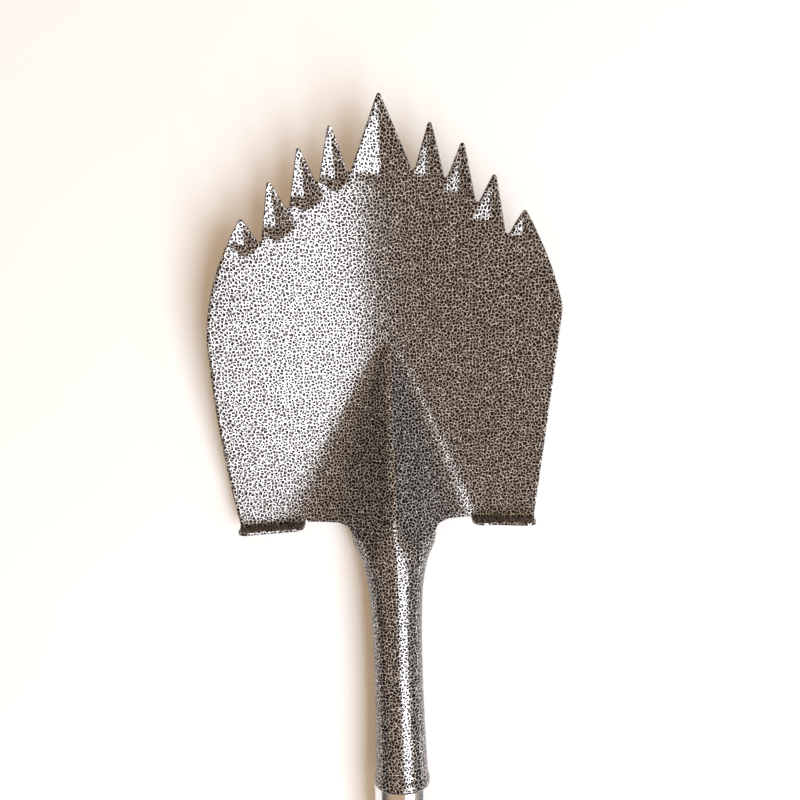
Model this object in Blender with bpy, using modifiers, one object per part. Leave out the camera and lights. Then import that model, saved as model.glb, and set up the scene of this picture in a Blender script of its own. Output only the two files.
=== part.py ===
"""Long-handled metal-detecting shovel, modelled as it comes apart on a bench.

The shovel lies on its back on the plane Z = 0 with the hollow of the blade facing up.
+Y runs along the handle towards the centre tooth, X runs across the blade, and the origin is
under the middle of the whole tool.  A pressed-steel digging head with nine folded teeth, two
turned steps and a rolled socket holds a tubular shaft, which carries a T-handle.

Head shapes are written in head coordinates: x across the blade, v along the shaft axis from
the heel line (v = 0) towards the centre tooth, and z above the shaft axis.
"""
import math

import bmesh
import bpy
from mathutils import Matrix, Vector
from mathutils.geometry import delaunay_2d_cdt

MM = 0.001
GAP = 0.3 * MM                        # running gap between neighbouring pieces

# Whole tool
HALF_LENGTH = 500.0 * MM              # overall length is twice this
AXIS_HEIGHT = 19.8 * MM               # shaft axis above the ground when lying on its back

# Pressed sheet
SHEET = 2.3 * MM
MESH_STEP = 9.0 * MM                  # spacing of the points inside the blade
EDGE_CLEARANCE = 0.45 * MESH_STEP     # how far those points stay from the blade's edge
CREASE_CLEARANCE = 0.5 * MESH_STEP
JOIN_DISTANCE = 0.02 * MM             # points of neighbouring regions closer than this are one

# Blade outline: (x, v) of the tooth tips and gullets on one side, centre tooth first
CENTRE_TIP = (0.0, 279.3 * MM)
TOOTH_TIPS = [(32.0 * MM, 261.0 * MM), (52.6 * MM, 247.0 * MM), (72.7 * MM, 226.3 * MM),
              (91.8 * MM, 203.0 * MM)]
GULLETS = [(21.1 * MM, 233.2 * MM), (41.7 * MM, 226.2 * MM), (61.9 * MM, 209.6 * MM),
           (81.0 * MM, 188.6 * MM)]
TIP_RADIUS = 1.3 * MM
GULLET_RADIUS = 1.9 * MM
BACK_TIP_REACH = 0.56 * MM            # how far the back of the sheet reaches past the centre tip
LOWER_EDGE_STEPS = 9                  # chords of the bowed edge below the widest point
UPPER_EDGE_STEPS = 6

# The two sides of the blade are not quite alike: widest point, how far the edge bows outside
# the straight line above and below it, and the x span of the turned step
SIDES = {
    -1: {"widest": (119.0 * MM, 129.7 * MM), "upper_bow": 5.0 * MM, "lower_bow": 3.1 * MM,
         "step": (61.6 * MM, 105.7 * MM)},
    1: {"widest": (116.2 * MM, 140.3 * MM), "upper_bow": 2.8 * MM, "lower_bow": 0.7 * MM,
        "step": (54.4 * MM, 97.3 * MM)},
}

# Blade surface
HEEL_DEPTH = -27.3 * MM               # centre of the dish below the shaft axis at the heel
HEEL_SLOPE = 0.0903                   # rise of the blade towards the tip at the heel line
LONG_CURVE = 0.472                    # added rise, per metre of v squared
DISH_SLOPE = 0.24                     # tilt of the wings at the heel
DISH_GAIN = 0.03                      # extra tilt of the wings from DISH_RUN onwards
DISH_RUN = 120.0 * MM
DISH_BEND = 32.0 * MM                 # softness of the fold between the two wings

# Raised frog
FROG_LENGTH = 126.0 * MM
FROG_HALF_WIDTH = {-1: 56.0 * MM, 1: 52.0 * MM}
FROG_TAPER = 0.85
CREST_HEIGHT = 16.8 * MM              # crest above the shaft axis, level with the socket
CREST_FALL = 1.2                      # power of the crest's fall towards the apex
CREST_ROUND = 2.0 * MM
CREST_SIDE = 4.0 * MM                 # mesh lines each side of the crest
CREST_STEPS = 12
FROG_FILLET = 0.22                    # softness of the fold where the ridge meets the dish

# Folded teeth
FOLD_SLOPE = math.tan(math.radians(15.0))
CENTRE_FOLD_SLOPE = math.tan(math.radians(9.0))
FOLD_RUNOUT = 9.0 * MM                # the fold fades out this far below the gullets
CENTRE_FOLD_RUNOUT = 16.0 * MM
FOLD_START = 3.0 * TIP_RADIUS         # a fold's mesh line starts this far below its tip
FOLD_STEPS = 4

# Turned steps
STEP_HEIGHT = 15.0 * MM
STEP_LEAN = math.radians(8.0)
STEP_BEND_RADIUS = 2.5 * MM           # inside radius of the bend
STEP_CORNER_RADIUS = 7.5 * MM
STEP_RELIEF = 2.0 * MM
STEP_COLUMNS = 9
STEP_BEND_STEPS = 4
STEP_CORNER_STEPS = 4
STEP_LOW_ROWS = (0.08, 0.35)          # mesh rows below the corners, as shares of the tread

# Neck and socket: v, half width, half height, angle the sheet wraps to, share of frog section
NECK_CORNER = 38.0 * MM               # half width where the neck meets the heel line
NECK_EDGE = 28.6 * MM                 # half width of the free edge below its corner fillet
NECK_FILLET = 9.0 * MM
SOCKET_STATIONS = [
    (0.0, 30.5 * MM, 25.0 * MM, 84.0, 1.00),
    (-8.0 * MM, 29.2 * MM, 24.0 * MM, 92.0, 0.80),
    (-17.0 * MM, 27.2 * MM, 22.5 * MM, 104.0, 0.45),
    (-27.0 * MM, 22.8 * MM, 20.0 * MM, 128.0, 0.20),
    (-40.0 * MM, 19.6 * MM, 17.9 * MM, 155.0, 0.08),
    (-54.0 * MM, 17.9 * MM, 17.1 * MM, 177.0, 0.00),
    (-80.0 * MM, 16.8 * MM, 16.8 * MM, 177.0, 0.00),
    (-121.0 * MM, 16.6 * MM, 16.6 * MM, 177.0, 0.00),
    (-168.0 * MM, 17.8 * MM, 17.8 * MM, 177.0, 0.00),
    (-172.0 * MM, 18.7 * MM, 18.7 * MM, 177.0, 0.00),
    (-175.6 * MM, 18.8 * MM, 18.8 * MM, 177.0, 0.00),
]
SOCKET_ROUND_START = SOCKET_STATIONS[6][0]
SOCKET_MOUTH = SOCKET_STATIONS[-1][0]
SOCKET_COLUMNS = 28
SOCKET_LONG_SPAN = 5.0 * MM           # longer spans between stations get a mesh row midway

# Shaft tube
SHAFT_RADIUS = 19.05 * MM
SHAFT_WALL = 1.6 * MM
SHOULDER_BEVEL = 0.5 * MM
SHOULDER_BLEND = 6.0 * MM             # length of the inner slope behind the shoulder
NOSE_MOUTH_RADIUS = 14.9 * MM         # swaged nose just inside the socket mouth
NOSE_RADIUS = 13.7 * MM
NOSE_TAPER_END = -120.0 * MM
NOSE_END = -62.0 * MM

# Plug in the nose and cap at the hand end
PLUG_HEAD = 2.5 * MM
PLUG_HEAD_INSET = 0.3 * MM
PLUG_BEVEL = 1.2 * MM
PLUG_STEM = 14.0 * MM
PLUG_STEM_TAPER = 0.4 * MM
TOP_CAP_STEM = 6.0 * MM
TOP_CAP_LEAD_IN = 1.0 * MM
TOP_CAP_DOME = [(0.0, 2.2 * MM), (0.9 * MM, 0.7 * MM), (3.0 * MM, 0.0)]   # (inset, height)

# Blind rivets each side of the socket's seam
RIVET_ANGLE = math.radians(146.0)     # around the socket from its crest
RIVET_STATIONS = {"lower": -98.0 * MM, "upper": -152.0 * MM}
RIVET_RADIUS = 2.4 * MM
RIVET_HEAD_RADIUS = 4.7 * MM
RIVET_HEAD_HEIGHT = 1.5 * MM
RIVET_DOME = [(2.6 * MM, 0.15 * MM), (4.0 * MM, 0.7 * MM)]   # (radius, depth below the top)
RIVET_BULB_RADIUS = 3.5 * MM
RIVET_BULB_LENGTH = 3.0 * MM
RIVET_BULB_BEVEL = 0.8 * MM
RIVET_BULB_END_RADIUS = 2.6 * MM
RIVET_SIDES = 16
MANDREL_RADIUS = 1.0 * MM
MANDREL_INSET = 0.5 * MM              # rim of the broken pin below the top of the rivet's head
MANDREL_BREAK = 0.1 * MM              # rise of the broken face from its rim to its middle
MANDREL_HEAD_RADIUS = 2.0 * MM
MANDREL_HEAD_LENGTH = 1.5 * MM
MANDREL_HEAD_ROUND = 0.3 * MM
MANDREL_SIDES = 12

# T-handle
CROSSBAR_RADIUS = 14.3 * MM
CROSSBAR_WALL = 1.6 * MM
CROSSBAR_INSET = 28.0 * MM            # crossbar axis from the end of the tool
HANDLE_HALF_WIDTH = 130.0 * MM
GRIP_START = 27.0 * MM
GRIP_GROOVES = 4
GRIP_GROOVE_DEPTH = 1.2 * MM
GRIP_GROOVE_TOP = 0.14                # half widths of a groove, as shares of the pitch
GRIP_GROOVE_BASE = 0.07
GRIP_EDGE = 2.0 * MM
GRIP_SIDES = 32
CAP_HEAD = 4.0 * MM
CAP_INSET = 1.6 * MM                  # cap smaller than the grip by this much
CAP_BEVEL = 2.0 * MM
CAP_PLUG_DEPTH = 16.0 * MM
CAP_PLUG_TAPER = 0.5 * MM
WELD_LEG = 4.0 * MM
WELD_SHAFT_SHARE = 0.8                # leg on the shaft compared with the leg on the crossbar
WELD_CROWN = 0.175 * WELD_LEG         # rise of the bead's crown along each axis
WELD_SHARP_ANGLE = 40.0

HEEL_Y = HALF_LENGTH - CENTRE_TIP[1] - BACK_TIP_REACH
CROSSBAR_Y = -HALF_LENGTH + CROSSBAR_INSET
SHAFT_END_Y = -HALF_LENGTH + CAP_HEAD + GAP
ROUND = 40                            # sides of a full turn on the tubes
CUTTER_REACH = 3.0 * MM               # how far a cutter stands out of the piece it cuts
SHARP_ANGLE = 30.0                    # edges sharper than this many degrees aren't smoothed
SIDE_WORDS = {-1: "left", 1: "right"}


def clear_scene():
    """Empty the file of objects."""
    for obj in list(bpy.data.objects):
        bpy.data.objects.remove(obj, do_unlink=True)


def make_collection(name):
    """Return a new collection linked to the scene."""
    collection = bpy.data.collections.new(name)
    bpy.context.scene.collection.children.link(collection)
    return collection


def make_material(name, color, roughness, metallic):
    """Return a Principled material."""
    material = bpy.data.materials.new(name)
    material.use_nodes = True
    shader = material.node_tree.nodes["Principled BSDF"]
    shader.inputs["Base Color"].default_value = (*color, 1.0)
    shader.inputs["Roughness"].default_value = roughness
    shader.inputs["Metallic"].default_value = metallic
    return material


def add_object(name, bm, material, collection, sharp_angle=SHARP_ANGLE):
    """Make a named object from a bmesh, smooth shaded up to sharp_angle."""
    mesh = bpy.data.meshes.new(name)
    bm.to_mesh(mesh)
    bm.free()
    mesh.shade_smooth()
    mesh.set_sharp_from_angle(angle=math.radians(sharp_angle))
    mesh.materials.append(material)
    obj = bpy.data.objects.new(name, mesh)
    collection.objects.link(obj)
    return obj


def add_cut(obj, cutter):
    """Cut one object out of another."""
    cut = obj.modifiers.new("cut " + cutter.name, "BOOLEAN")
    cut.operation = "DIFFERENCE"
    cut.solver = "EXACT"
    cut.object = cutter


def turned(name, profile, matrix, material, collection, sides=ROUND):
    """Turn a (radius, height) profile about Z, from the top down its outer side.

    A profile that starts on the axis is a solid's, and any other is a ring's and is closed.
    """
    bm = bmesh.new()
    verts = [bm.verts.new((radius, 0.0, height)) for radius, height in profile]
    if profile[0][0] > 0.0:
        verts.append(verts[0])
    for first, second in zip(verts, verts[1:]):
        bm.edges.new((first, second))
    obj = add_object(name, bm, material, collection)
    screw = obj.modifiers.new("turn", "SCREW")
    screw.steps = sides
    screw.render_steps = sides
    screw.use_merge_vertices = True
    screw.merge_threshold = 0.01 * MM
    obj.matrix_world = matrix
    return obj


def turned_cutter(name, radius, top, bottom, matrix, material, collection, sides=ROUND):
    """Round cutter from top to bottom, kept out of the rendered tool."""
    profile = [(0.0, top), (radius, top), (radius, bottom), (0.0, bottom)]
    obj = turned(name, profile, matrix, material, collection, sides)
    obj.hide_render = True
    obj.display_type = "WIRE"
    return obj


# ---------------------------------------------------------------- digging head: surface

def blade_floor(v):
    """Height of the centre of the dish along the blade."""
    return HEEL_DEPTH + HEEL_SLOPE * v + LONG_CURVE * v * v


def dish_rise(x, v):
    """Rise of the wings above the centre of the dish."""
    slope = DISH_SLOPE + DISH_GAIN * min(max(v / DISH_RUN, 0.0), 1.0)
    return slope * (math.hypot(x, DISH_BEND) - DISH_BEND)


def frog_rise(x, v):
    """Height of the triangular ridge that runs from the socket into the blade."""
    along = max(1.0 - v / FROG_LENGTH, 0.0)
    if along == 0.0:
        return 0.0
    fall = (CREST_HEIGHT - blade_floor(FROG_LENGTH)) * (1.0 - along) ** CREST_FALL
    height = max(CREST_HEIGHT - fall - blade_floor(v), 0.0)
    half_width = FROG_HALF_WIDTH[-1 if x < 0.0 else 1] * along ** FROG_TAPER
    across = 1.0 - math.hypot(x, CREST_ROUND) / half_width
    return height * 0.5 * (across + math.hypot(across, FROG_FILLET))


def tooth_folds():
    """List (tip, root, half width, run-out, slope) for every tooth, on both sides."""
    gullet_x, gullet_v = GULLETS[0]
    folds = [(CENTRE_TIP, (0.0, gullet_v), gullet_x, CENTRE_FOLD_RUNOUT, CENTRE_FOLD_SLOPE)]
    outer_roots = GULLETS[1:] + [(2.0 * TOOTH_TIPS[-1][0] - GULLETS[-1][0], GULLETS[-1][1])]
    for tip, inner, outer in zip(TOOTH_TIPS, GULLETS, outer_roots):
        root = (0.5 * (inner[0] + outer[0]), 0.5 * (inner[1] + outer[1]))
        half_width = 0.5 * math.dist(inner, outer)
        for side in (-1, 1):
            folds.append(((side * tip[0], tip[1]), (side * root[0], root[1]), half_width,
                          FOLD_RUNOUT, FOLD_SLOPE))
    return folds


FOLDS = tooth_folds()


def fold_drop(x, v):
    """Depth of the V fold pressed into the teeth, kite shaped in plan."""
    drop = 0.0
    for tip, root, half_width, runout, slope in FOLDS:
        axis = Vector(root) - Vector(tip)
        length = axis.length
        axis.normalize()
        offset = Vector((x, v)) - Vector(tip)
        along = offset.dot(axis)
        across = abs(offset.cross(axis))
        width = half_width * min(along / length, (length + runout - along) / runout)
        drop = max(drop, slope * (width - across))
    return drop


def blade_point(x, v):
    """Point of the blade's front face in world coordinates."""
    z = blade_floor(v) + dish_rise(x, v) + frog_rise(x, v) - fold_drop(x, v)
    return Vector((x, v + HEEL_Y, z + AXIS_HEIGHT))


# ---------------------------------------------------------------- digging head: outline

def rounded_corner(before, corner, after, radius, steps=3):
    """Points of the arc that rounds a corner of an outline."""
    corner = Vector(corner)
    to_before = (Vector(before) - corner).normalized()
    to_after = (Vector(after) - corner).normalized()
    half_angle = 0.5 * to_before.angle(to_after)
    bisector = (to_before + to_after).normalized()
    centre = corner + bisector * radius / math.sin(half_angle)
    start = corner + to_before * radius / math.tan(half_angle) - centre
    end = corner + to_after * radius / math.tan(half_angle) - centre
    turn = start.angle_signed(end)
    points = []
    for i in range(steps + 1):
        angle = -turn * i / steps
        points.append(centre + Matrix.Rotation(angle, 2) @ start)
    return [tuple(point) for point in points]


def sharp_corner(before, corner, after, radius):
    """Corner to be rounded so that the middle of its arc lands on the given point."""
    corner = Vector(corner)
    to_before = (Vector(before) - corner).normalized()
    to_after = (Vector(after) - corner).normalized()
    half_angle = 0.5 * to_before.angle(to_after)
    bisector = (to_before + to_after).normalized()
    return tuple(corner - bisector * radius * (1.0 / math.sin(half_angle) - 1.0))


def bowed_edge(start, end, bow, steps):
    """Inner points of an arc from start to end that bows out to the right of the way."""
    start = Vector(start)
    way = Vector(end) - start
    outward = Vector((way.y, -way.x)).normalized()
    points = []
    for i in range(1, steps):
        t = i / steps
        points.append(tuple(start + way * t + outward * bow * 4.0 * t * (1.0 - t)))
    return points


def step_edge(x, side):
    """v where the bend of a turned step begins, so that the tread is one plane.

    The blade's height at that line depends on v, so v is worked out in a few rounds.
    """
    v = STEP_BEND_RADIUS
    for _ in range(4):
        rise = blade_point(side * x, v).z - step_foot_height(side)
        v = STEP_BEND_RADIUS / math.cos(STEP_LEAN) - (rise + STEP_BEND_RADIUS) * math.tan(STEP_LEAN)
    return v


def step_foot_height(side):
    """Height of the blade at the inner end of a step."""
    return blade_point(side * SIDES[side]["step"][0], STEP_BEND_RADIUS).z


def step_columns(side):
    """x of the mesh columns of a turned step, from its inner end outwards."""
    inner, outer = SIDES[side]["step"]
    return [inner + (outer - inner) * i / STEP_COLUMNS for i in range(STEP_COLUMNS + 1)]


def side_outline(side):
    """Outline of one half from the neck round to the centre tooth, as positive x."""
    spec = SIDES[side]
    columns = step_columns(side)
    points = [(0.5 * (NECK_CORNER + columns[0]), 0.0), (columns[0] - STEP_RELIEF, 0.0)]
    points += [(x, step_edge(x, side)) for x in columns]
    heel = points[-1]
    last_tip = TOOTH_TIPS[-1]
    points += bowed_edge(heel, spec["widest"], spec["lower_bow"], LOWER_EDGE_STEPS)
    points.append(spec["widest"])
    upper = bowed_edge(spec["widest"], last_tip, spec["upper_bow"], UPPER_EDGE_STEPS)
    points += upper
    zigzag = [upper[-1]]
    for tip, gullet in zip(reversed(TOOTH_TIPS), reversed(GULLETS)):
        zigzag += [tip, gullet]
    zigzag += [CENTRE_TIP, (-GULLETS[0][0], GULLETS[0][1])]
    radii = [TIP_RADIUS if i % 2 else GULLET_RADIUS for i in range(len(zigzag))]
    corners = list(zigzag)
    for i in range(1, len(zigzag) - 1):
        corners[i] = sharp_corner(zigzag[i - 1], zigzag[i], zigzag[i + 1], radii[i])
    corners[-1] = (-corners[-3][0], corners[-3][1])
    for i in range(1, len(zigzag) - 2):
        points += rounded_corner(corners[i - 1], corners[i], corners[i + 1], radii[i])
    centre_arc = rounded_corner(*corners[-3:], TIP_RADIUS, steps=4)
    return points + centre_arc[:3]


def blade_outline(neck_row):
    """Closed outline of the blade, counter-clockwise from the right end of the neck."""
    right = side_outline(1)
    left = [(-x, v) for x, v in reversed(side_outline(-1)[:-1])]
    return right + left + neck_row


def inside_outline(point, outline, margin):
    """True for a point inside the outline and at least margin from its edge."""
    x, v = point
    inside = False
    for (x0, v0), (x1, v1) in zip(outline, outline[1:] + outline[:1]):
        if (v0 > v) != (v1 > v) and x < x0 + (v - v0) * (x1 - x0) / (v1 - v0):
            inside = not inside
        edge = Vector((x1 - x0, v1 - v0))
        offset = Vector((x - x0, v - v0))
        along = min(max(offset.dot(edge) / max(edge.length_squared, 1e-12), 0.0), 1.0)
        if (offset - edge * along).length < margin:
            return False
    return inside


def crease_lines():
    """Lines that the mesh follows: the frog's crest and the fold of each tooth."""
    lines = [[(0.0, FROG_LENGTH * i / CREST_STEPS) for i in range(CREST_STEPS + 1)]]
    for x in (-CREST_SIDE, CREST_SIDE):
        lines.append([(x, FROG_LENGTH * i / CREST_STEPS) for i in range(1, CREST_STEPS)])
    for tip, root, _, runout, _ in FOLDS:
        way = (Vector(root) - Vector(tip)).normalized()
        start = Vector(tip) + way * FOLD_START
        end = Vector(root) + way * runout
        lines.append([tuple(start.lerp(end, i / FOLD_STEPS)) for i in range(FOLD_STEPS + 1)])
    return lines


def fill_points(outline, creases):
    """Staggered points inside the outline, clear of its edge and of the creases."""
    crease_points = [Vector(point) for line in creases for point in line]
    row_step = MESH_STEP * math.sqrt(0.75)
    side_columns = int(SIDES[-1]["widest"][0] / MESH_STEP) + 1
    points = []
    for row in range(int(CENTRE_TIP[1] / row_step) + 1):
        shift = 0.5 * (row % 2)
        for column in range(-side_columns, side_columns + 1):
            point = ((column + shift) * MESH_STEP, (row + 0.5) * row_step)
            if not inside_outline(point, outline, EDGE_CLEARANCE):
                continue
            nearest = min((Vector(point) - other).length for other in crease_points)
            if nearest > CREASE_CLEARANCE:
                points.append(point)
    return points


def add_blade(bm, neck_row):
    """Triangulate the blade's outline and press it to shape."""
    outline = blade_outline(neck_row)
    creases = crease_lines()
    points = list(outline)
    edges = []
    for line in creases:
        if line[0] in points:
            numbers = [points.index(line[0])]
        else:
            points.append(line[0])
            numbers = [len(points) - 1]
        for point in line[1:]:
            points.append(point)
            numbers.append(len(points) - 1)
        edges += list(zip(numbers, numbers[1:]))
    points += fill_points(outline, creases)
    vectors = [Vector(point) for point in points]
    loop = [list(range(len(outline)))]
    only_inside = 1
    same_point = 1e-4 * MM
    flat, _, faces, _, _, _ = delaunay_2d_cdt(vectors, edges, loop, only_inside, same_point)
    verts = [bm.verts.new(blade_point(point.x, point.y)) for point in flat]
    for face in faces:
        bm.faces.new([verts[i] for i in face])


# ---------------------------------------------------------------- digging head: steps, socket

def add_grid(bm, rows):
    """Add a strip of faces through rows of points of equal length."""
    grid = [[bm.verts.new(point) for point in row] for row in rows]
    for lower, upper in zip(grid, grid[1:]):
        for i in range(len(lower) - 1):
            bm.faces.new((lower[i], upper[i], upper[i + 1], lower[i + 1]))


def add_step(bm, side):
    """Turn one step up from the heel line, with rounded free corners."""
    foot_height = step_foot_height(side)
    inner, outer = SIDES[side]["step"]
    turn = 0.5 * math.pi - STEP_LEAN
    straight = STEP_HEIGHT - STEP_BEND_RADIUS
    heights = [share * straight for share in STEP_LOW_ROWS]
    corner_start = straight - STEP_CORNER_RADIUS
    for t in range(STEP_CORNER_STEPS + 1):
        angle = 0.5 * math.pi * t / STEP_CORNER_STEPS
        heights.append(corner_start + STEP_CORNER_RADIUS * math.sin(angle))
    rows = []
    for t in range(STEP_BEND_STEPS + 1):
        angle = 1.5 * math.pi - turn * t / STEP_BEND_STEPS
        row = []
        for x in step_columns(side):
            v = step_edge(x, side)
            z = blade_point(side * x, v).z + STEP_BEND_RADIUS * (1.0 + math.sin(angle))
            row.append((side * x, v + HEEL_Y + STEP_BEND_RADIUS * math.cos(angle), z))
        rows.append(row)
    for height in heights:
        over = max(height - corner_start, 0.0)
        inset = STEP_CORNER_RADIUS - math.sqrt(max(STEP_CORNER_RADIUS ** 2 - over ** 2, 0.0))
        squeeze = 1.0 - 2.0 * inset / (outer - inner)
        row = []
        for foot, x in zip(rows[STEP_BEND_STEPS], step_columns(side)):
            squeezed = inner + inset + (x - inner) * squeeze
            z = foot[2] + height * math.cos(STEP_LEAN)
            z += step_slope(side) * (squeezed - x)
            v_plane = plane_v(z, foot_height)
            row.append((side * squeezed, v_plane + HEEL_Y, z))
        rows.append(row)
    if side > 0:
        rows = [list(reversed(row)) for row in rows]
    add_grid(bm, rows)


def plane_v(z, foot_height):
    """v of the front face of a step at a given height."""
    return -(z - foot_height) * math.tan(STEP_LEAN)


def step_slope(side):
    """Rise of the heel line across a step."""
    inner, outer = SIDES[side]["step"]
    rise = blade_point(side * outer, STEP_BEND_RADIUS).z - step_foot_height(side)
    return rise / (outer - inner)


def station_values(v):
    """Smoothly interpolated socket section at v."""
    stations = SOCKET_STATIONS
    last = len(stations) - 1
    i = 0
    while i < last - 1 and v < stations[i + 1][0]:
        i += 1
    before, start, end, after = (stations[max(i - 1, 0)], stations[i], stations[i + 1],
                                 stations[min(i + 2, last)])
    span = end[0] - start[0]
    t = (v - start[0]) / span
    ease = 3.0 * t ** 2 - 2.0 * t ** 3
    values = []
    for k in range(1, len(start)):
        start_slope = (end[k] - before[k]) / (end[0] - before[0]) * span
        end_slope = (after[k] - start[k]) / (after[0] - start[0]) * span
        level = (1.0 - ease) * start[k] + ease * end[k]
        values.append(level + t * (1.0 - t) ** 2 * start_slope - t ** 2 * (1.0 - t) * end_slope)
    return values


def neck_edge(v):
    """Half width of the neck's free edge, with the fillet into the heel line."""
    down = min(-v / NECK_FILLET, 1.0)
    return NECK_EDGE + (NECK_CORNER - NECK_EDGE) * (1.0 - math.sqrt(1.0 - (1.0 - down) ** 2))


def socket_point(share, v):
    """Point of the neck or socket, share running from -1 to 1 around the wrapped sheet."""
    half_width, half_height, wrap, frog_share = station_values(v)
    angle = share * math.radians(wrap)
    rolled = Vector((half_width * math.sin(angle), half_height * (math.cos(angle) - 1.0)))
    x = share * neck_edge(v)
    frog_z = blade_floor(0.0) + dish_rise(x, 0.0) + frog_rise(x, 0.0)
    frog_drop = frog_z - CREST_HEIGHT
    crest = CREST_HEIGHT if v > SOCKET_ROUND_START else half_height
    mixed_x = frog_share * x + (1.0 - frog_share) * rolled.x
    mixed_z = crest + frog_share * frog_drop + (1.0 - frog_share) * rolled.y
    return Vector((mixed_x, v + HEEL_Y, mixed_z + AXIS_HEIGHT))


def socket_shares():
    """Positions of the mesh columns around the wrapped sheet."""
    return [2.0 * i / SOCKET_COLUMNS - 1.0 for i in range(SOCKET_COLUMNS + 1)]


def socket_rows():
    """v of the mesh rows: every station, and one row midway along each long span."""
    rows = [SOCKET_STATIONS[0][0]]
    for station in SOCKET_STATIONS[1:]:
        if rows[-1] - station[0] > SOCKET_LONG_SPAN:
            rows.append(0.5 * (rows[-1] + station[0]))
        rows.append(station[0])
    return rows


def add_socket(bm):
    """Wrap the neck round into the tubular socket, open along a seam at its back."""
    rows = []
    for v in socket_rows():
        rows.append([socket_point(share, v) for share in socket_shares()])
    add_grid(bm, rows)


def digging_head(material, collection):
    """The pressed head: one sheet of even thickness."""
    bm = bmesh.new()
    neck_row = [(share * NECK_CORNER, 0.0) for share in socket_shares()]
    add_blade(bm, neck_row)
    add_step(bm, -1)
    add_step(bm, 1)
    add_socket(bm)
    bmesh.ops.remove_doubles(bm, verts=bm.verts[:], dist=JOIN_DISTANCE)
    bmesh.ops.recalc_face_normals(bm, faces=bm.faces[:])
    up = sum(face.normal.z * face.calc_area() for face in bm.faces)
    if up < 0.0:
        bmesh.ops.reverse_faces(bm, faces=bm.faces[:])
    obj = add_object("digging_head", bm, material, collection)
    sheet = obj.modifiers.new("sheet", "SOLIDIFY")
    sheet.thickness = SHEET
    sheet.offset = -1.0
    sheet.use_even_offset = True
    sheet.use_quality_normals = True
    return obj


# ---------------------------------------------------------------- shaft and its small parts

def along_shaft(y):
    """Matrix that lays a turned part along the shaft, local +Z towards the blade."""
    return Matrix.Translation((0.0, y, AXIS_HEIGHT)) @ Matrix.Rotation(math.radians(-90.0), 4, "X")


def shaft_tube(material, collection):
    """Tube with a swaged nose that fills the socket."""
    shoulder = HEEL_Y + SOCKET_MOUTH - GAP
    nose_end = HEEL_Y + NOSE_END
    taper_end = HEEL_Y + NOSE_TAPER_END
    outer = [(NOSE_RADIUS, nose_end), (NOSE_RADIUS, taper_end), (NOSE_MOUTH_RADIUS, shoulder),
             (SHAFT_RADIUS - SHOULDER_BEVEL, shoulder), (SHAFT_RADIUS, shoulder - SHOULDER_BEVEL),
             (SHAFT_RADIUS, SHAFT_END_Y)]
    inner = [(SHAFT_RADIUS - SHAFT_WALL, SHAFT_END_Y),
             (SHAFT_RADIUS - SHAFT_WALL, shoulder - SHOULDER_BLEND),
             (NOSE_MOUTH_RADIUS - SHAFT_WALL, shoulder - SHOULDER_BEVEL),
             (NOSE_RADIUS - SHAFT_WALL, taper_end), (NOSE_RADIUS - SHAFT_WALL, nose_end)]
    return turned("shaft_tube", outer + inner, along_shaft(0.0), material, collection)


def shaft_end_plug(material, collection):
    """Plug that keeps soil out of the swaged end, seen in the open back of the neck."""
    under = HEEL_Y + NOSE_END + GAP
    top = under + PLUG_HEAD
    end = under - PLUG_STEM
    head = NOSE_RADIUS - PLUG_HEAD_INSET
    stem = NOSE_RADIUS - SHAFT_WALL - GAP
    profile = [(0.0, top), (head - PLUG_BEVEL, top), (head, top - PLUG_BEVEL), (head, under),
               (stem, under), (stem - PLUG_STEM_TAPER, end), (0.0, end)]
    return turned("shaft_end_plug", profile, along_shaft(0.0), material, collection)


def shaft_top_cap(material, collection):
    """Domed plug in the hand end of the shaft."""
    stem = SHAFT_RADIUS - SHAFT_WALL - GAP
    rim = -HALF_LENGTH + CAP_HEAD
    end = rim + TOP_CAP_STEM
    profile = [(0.0, end), (stem - 0.5 * TOP_CAP_LEAD_IN, end), (stem, end - TOP_CAP_LEAD_IN),
               (stem, rim), (SHAFT_RADIUS, rim)]
    profile += [(SHAFT_RADIUS - inset, height - HALF_LENGTH) for inset, height in TOP_CAP_DOME]
    profile.append((0.0, -HALF_LENGTH))
    return turned("shaft_top_cap", profile, along_shaft(0.0), material, collection)


def rivet_matrix(side, v):
    """Matrix at the socket's outer face with local +Z pointing outwards."""
    radius = station_values(v)[0]
    angle = side * RIVET_ANGLE
    outward = Vector((math.sin(angle), 0.0, math.cos(angle)))
    place = Vector((0.0, v + HEEL_Y, AXIS_HEIGHT)) + outward * radius
    return Matrix.Translation(place) @ outward.to_track_quat("Z", "Y").to_matrix().to_4x4()


def rivet_depth(v):
    """Distance from the socket's outer face to the shaft's inner face."""
    taper = min(max((v - NOSE_TAPER_END) / (SOCKET_MOUTH - NOSE_TAPER_END), 0.0), 1.0)
    nose = NOSE_RADIUS + (NOSE_MOUTH_RADIUS - NOSE_RADIUS) * taper
    return station_values(v)[0] - nose + SHAFT_WALL


def blind_rivet(name, side, v, material, collection):
    """Blind rivet: domed head, shank and set bulb, with its bore."""
    bore = MANDREL_RADIUS + GAP
    top = RIVET_HEAD_HEIGHT + GAP
    shank_end = -rivet_depth(v) - 2.0 * GAP
    end = shank_end - RIVET_BULB_LENGTH
    profile = [(bore, top)]
    profile += [(radius, top - depth) for radius, depth in RIVET_DOME]
    profile += [(RIVET_HEAD_RADIUS, GAP), (RIVET_RADIUS, GAP), (RIVET_RADIUS, shank_end),
                (RIVET_BULB_RADIUS, shank_end - RIVET_BULB_BEVEL),
                (RIVET_BULB_RADIUS, end + RIVET_BULB_BEVEL),
                (RIVET_BULB_END_RADIUS, end), (bore, end)]
    return turned(name, profile, rivet_matrix(side, v), material, collection, RIVET_SIDES)


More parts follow.
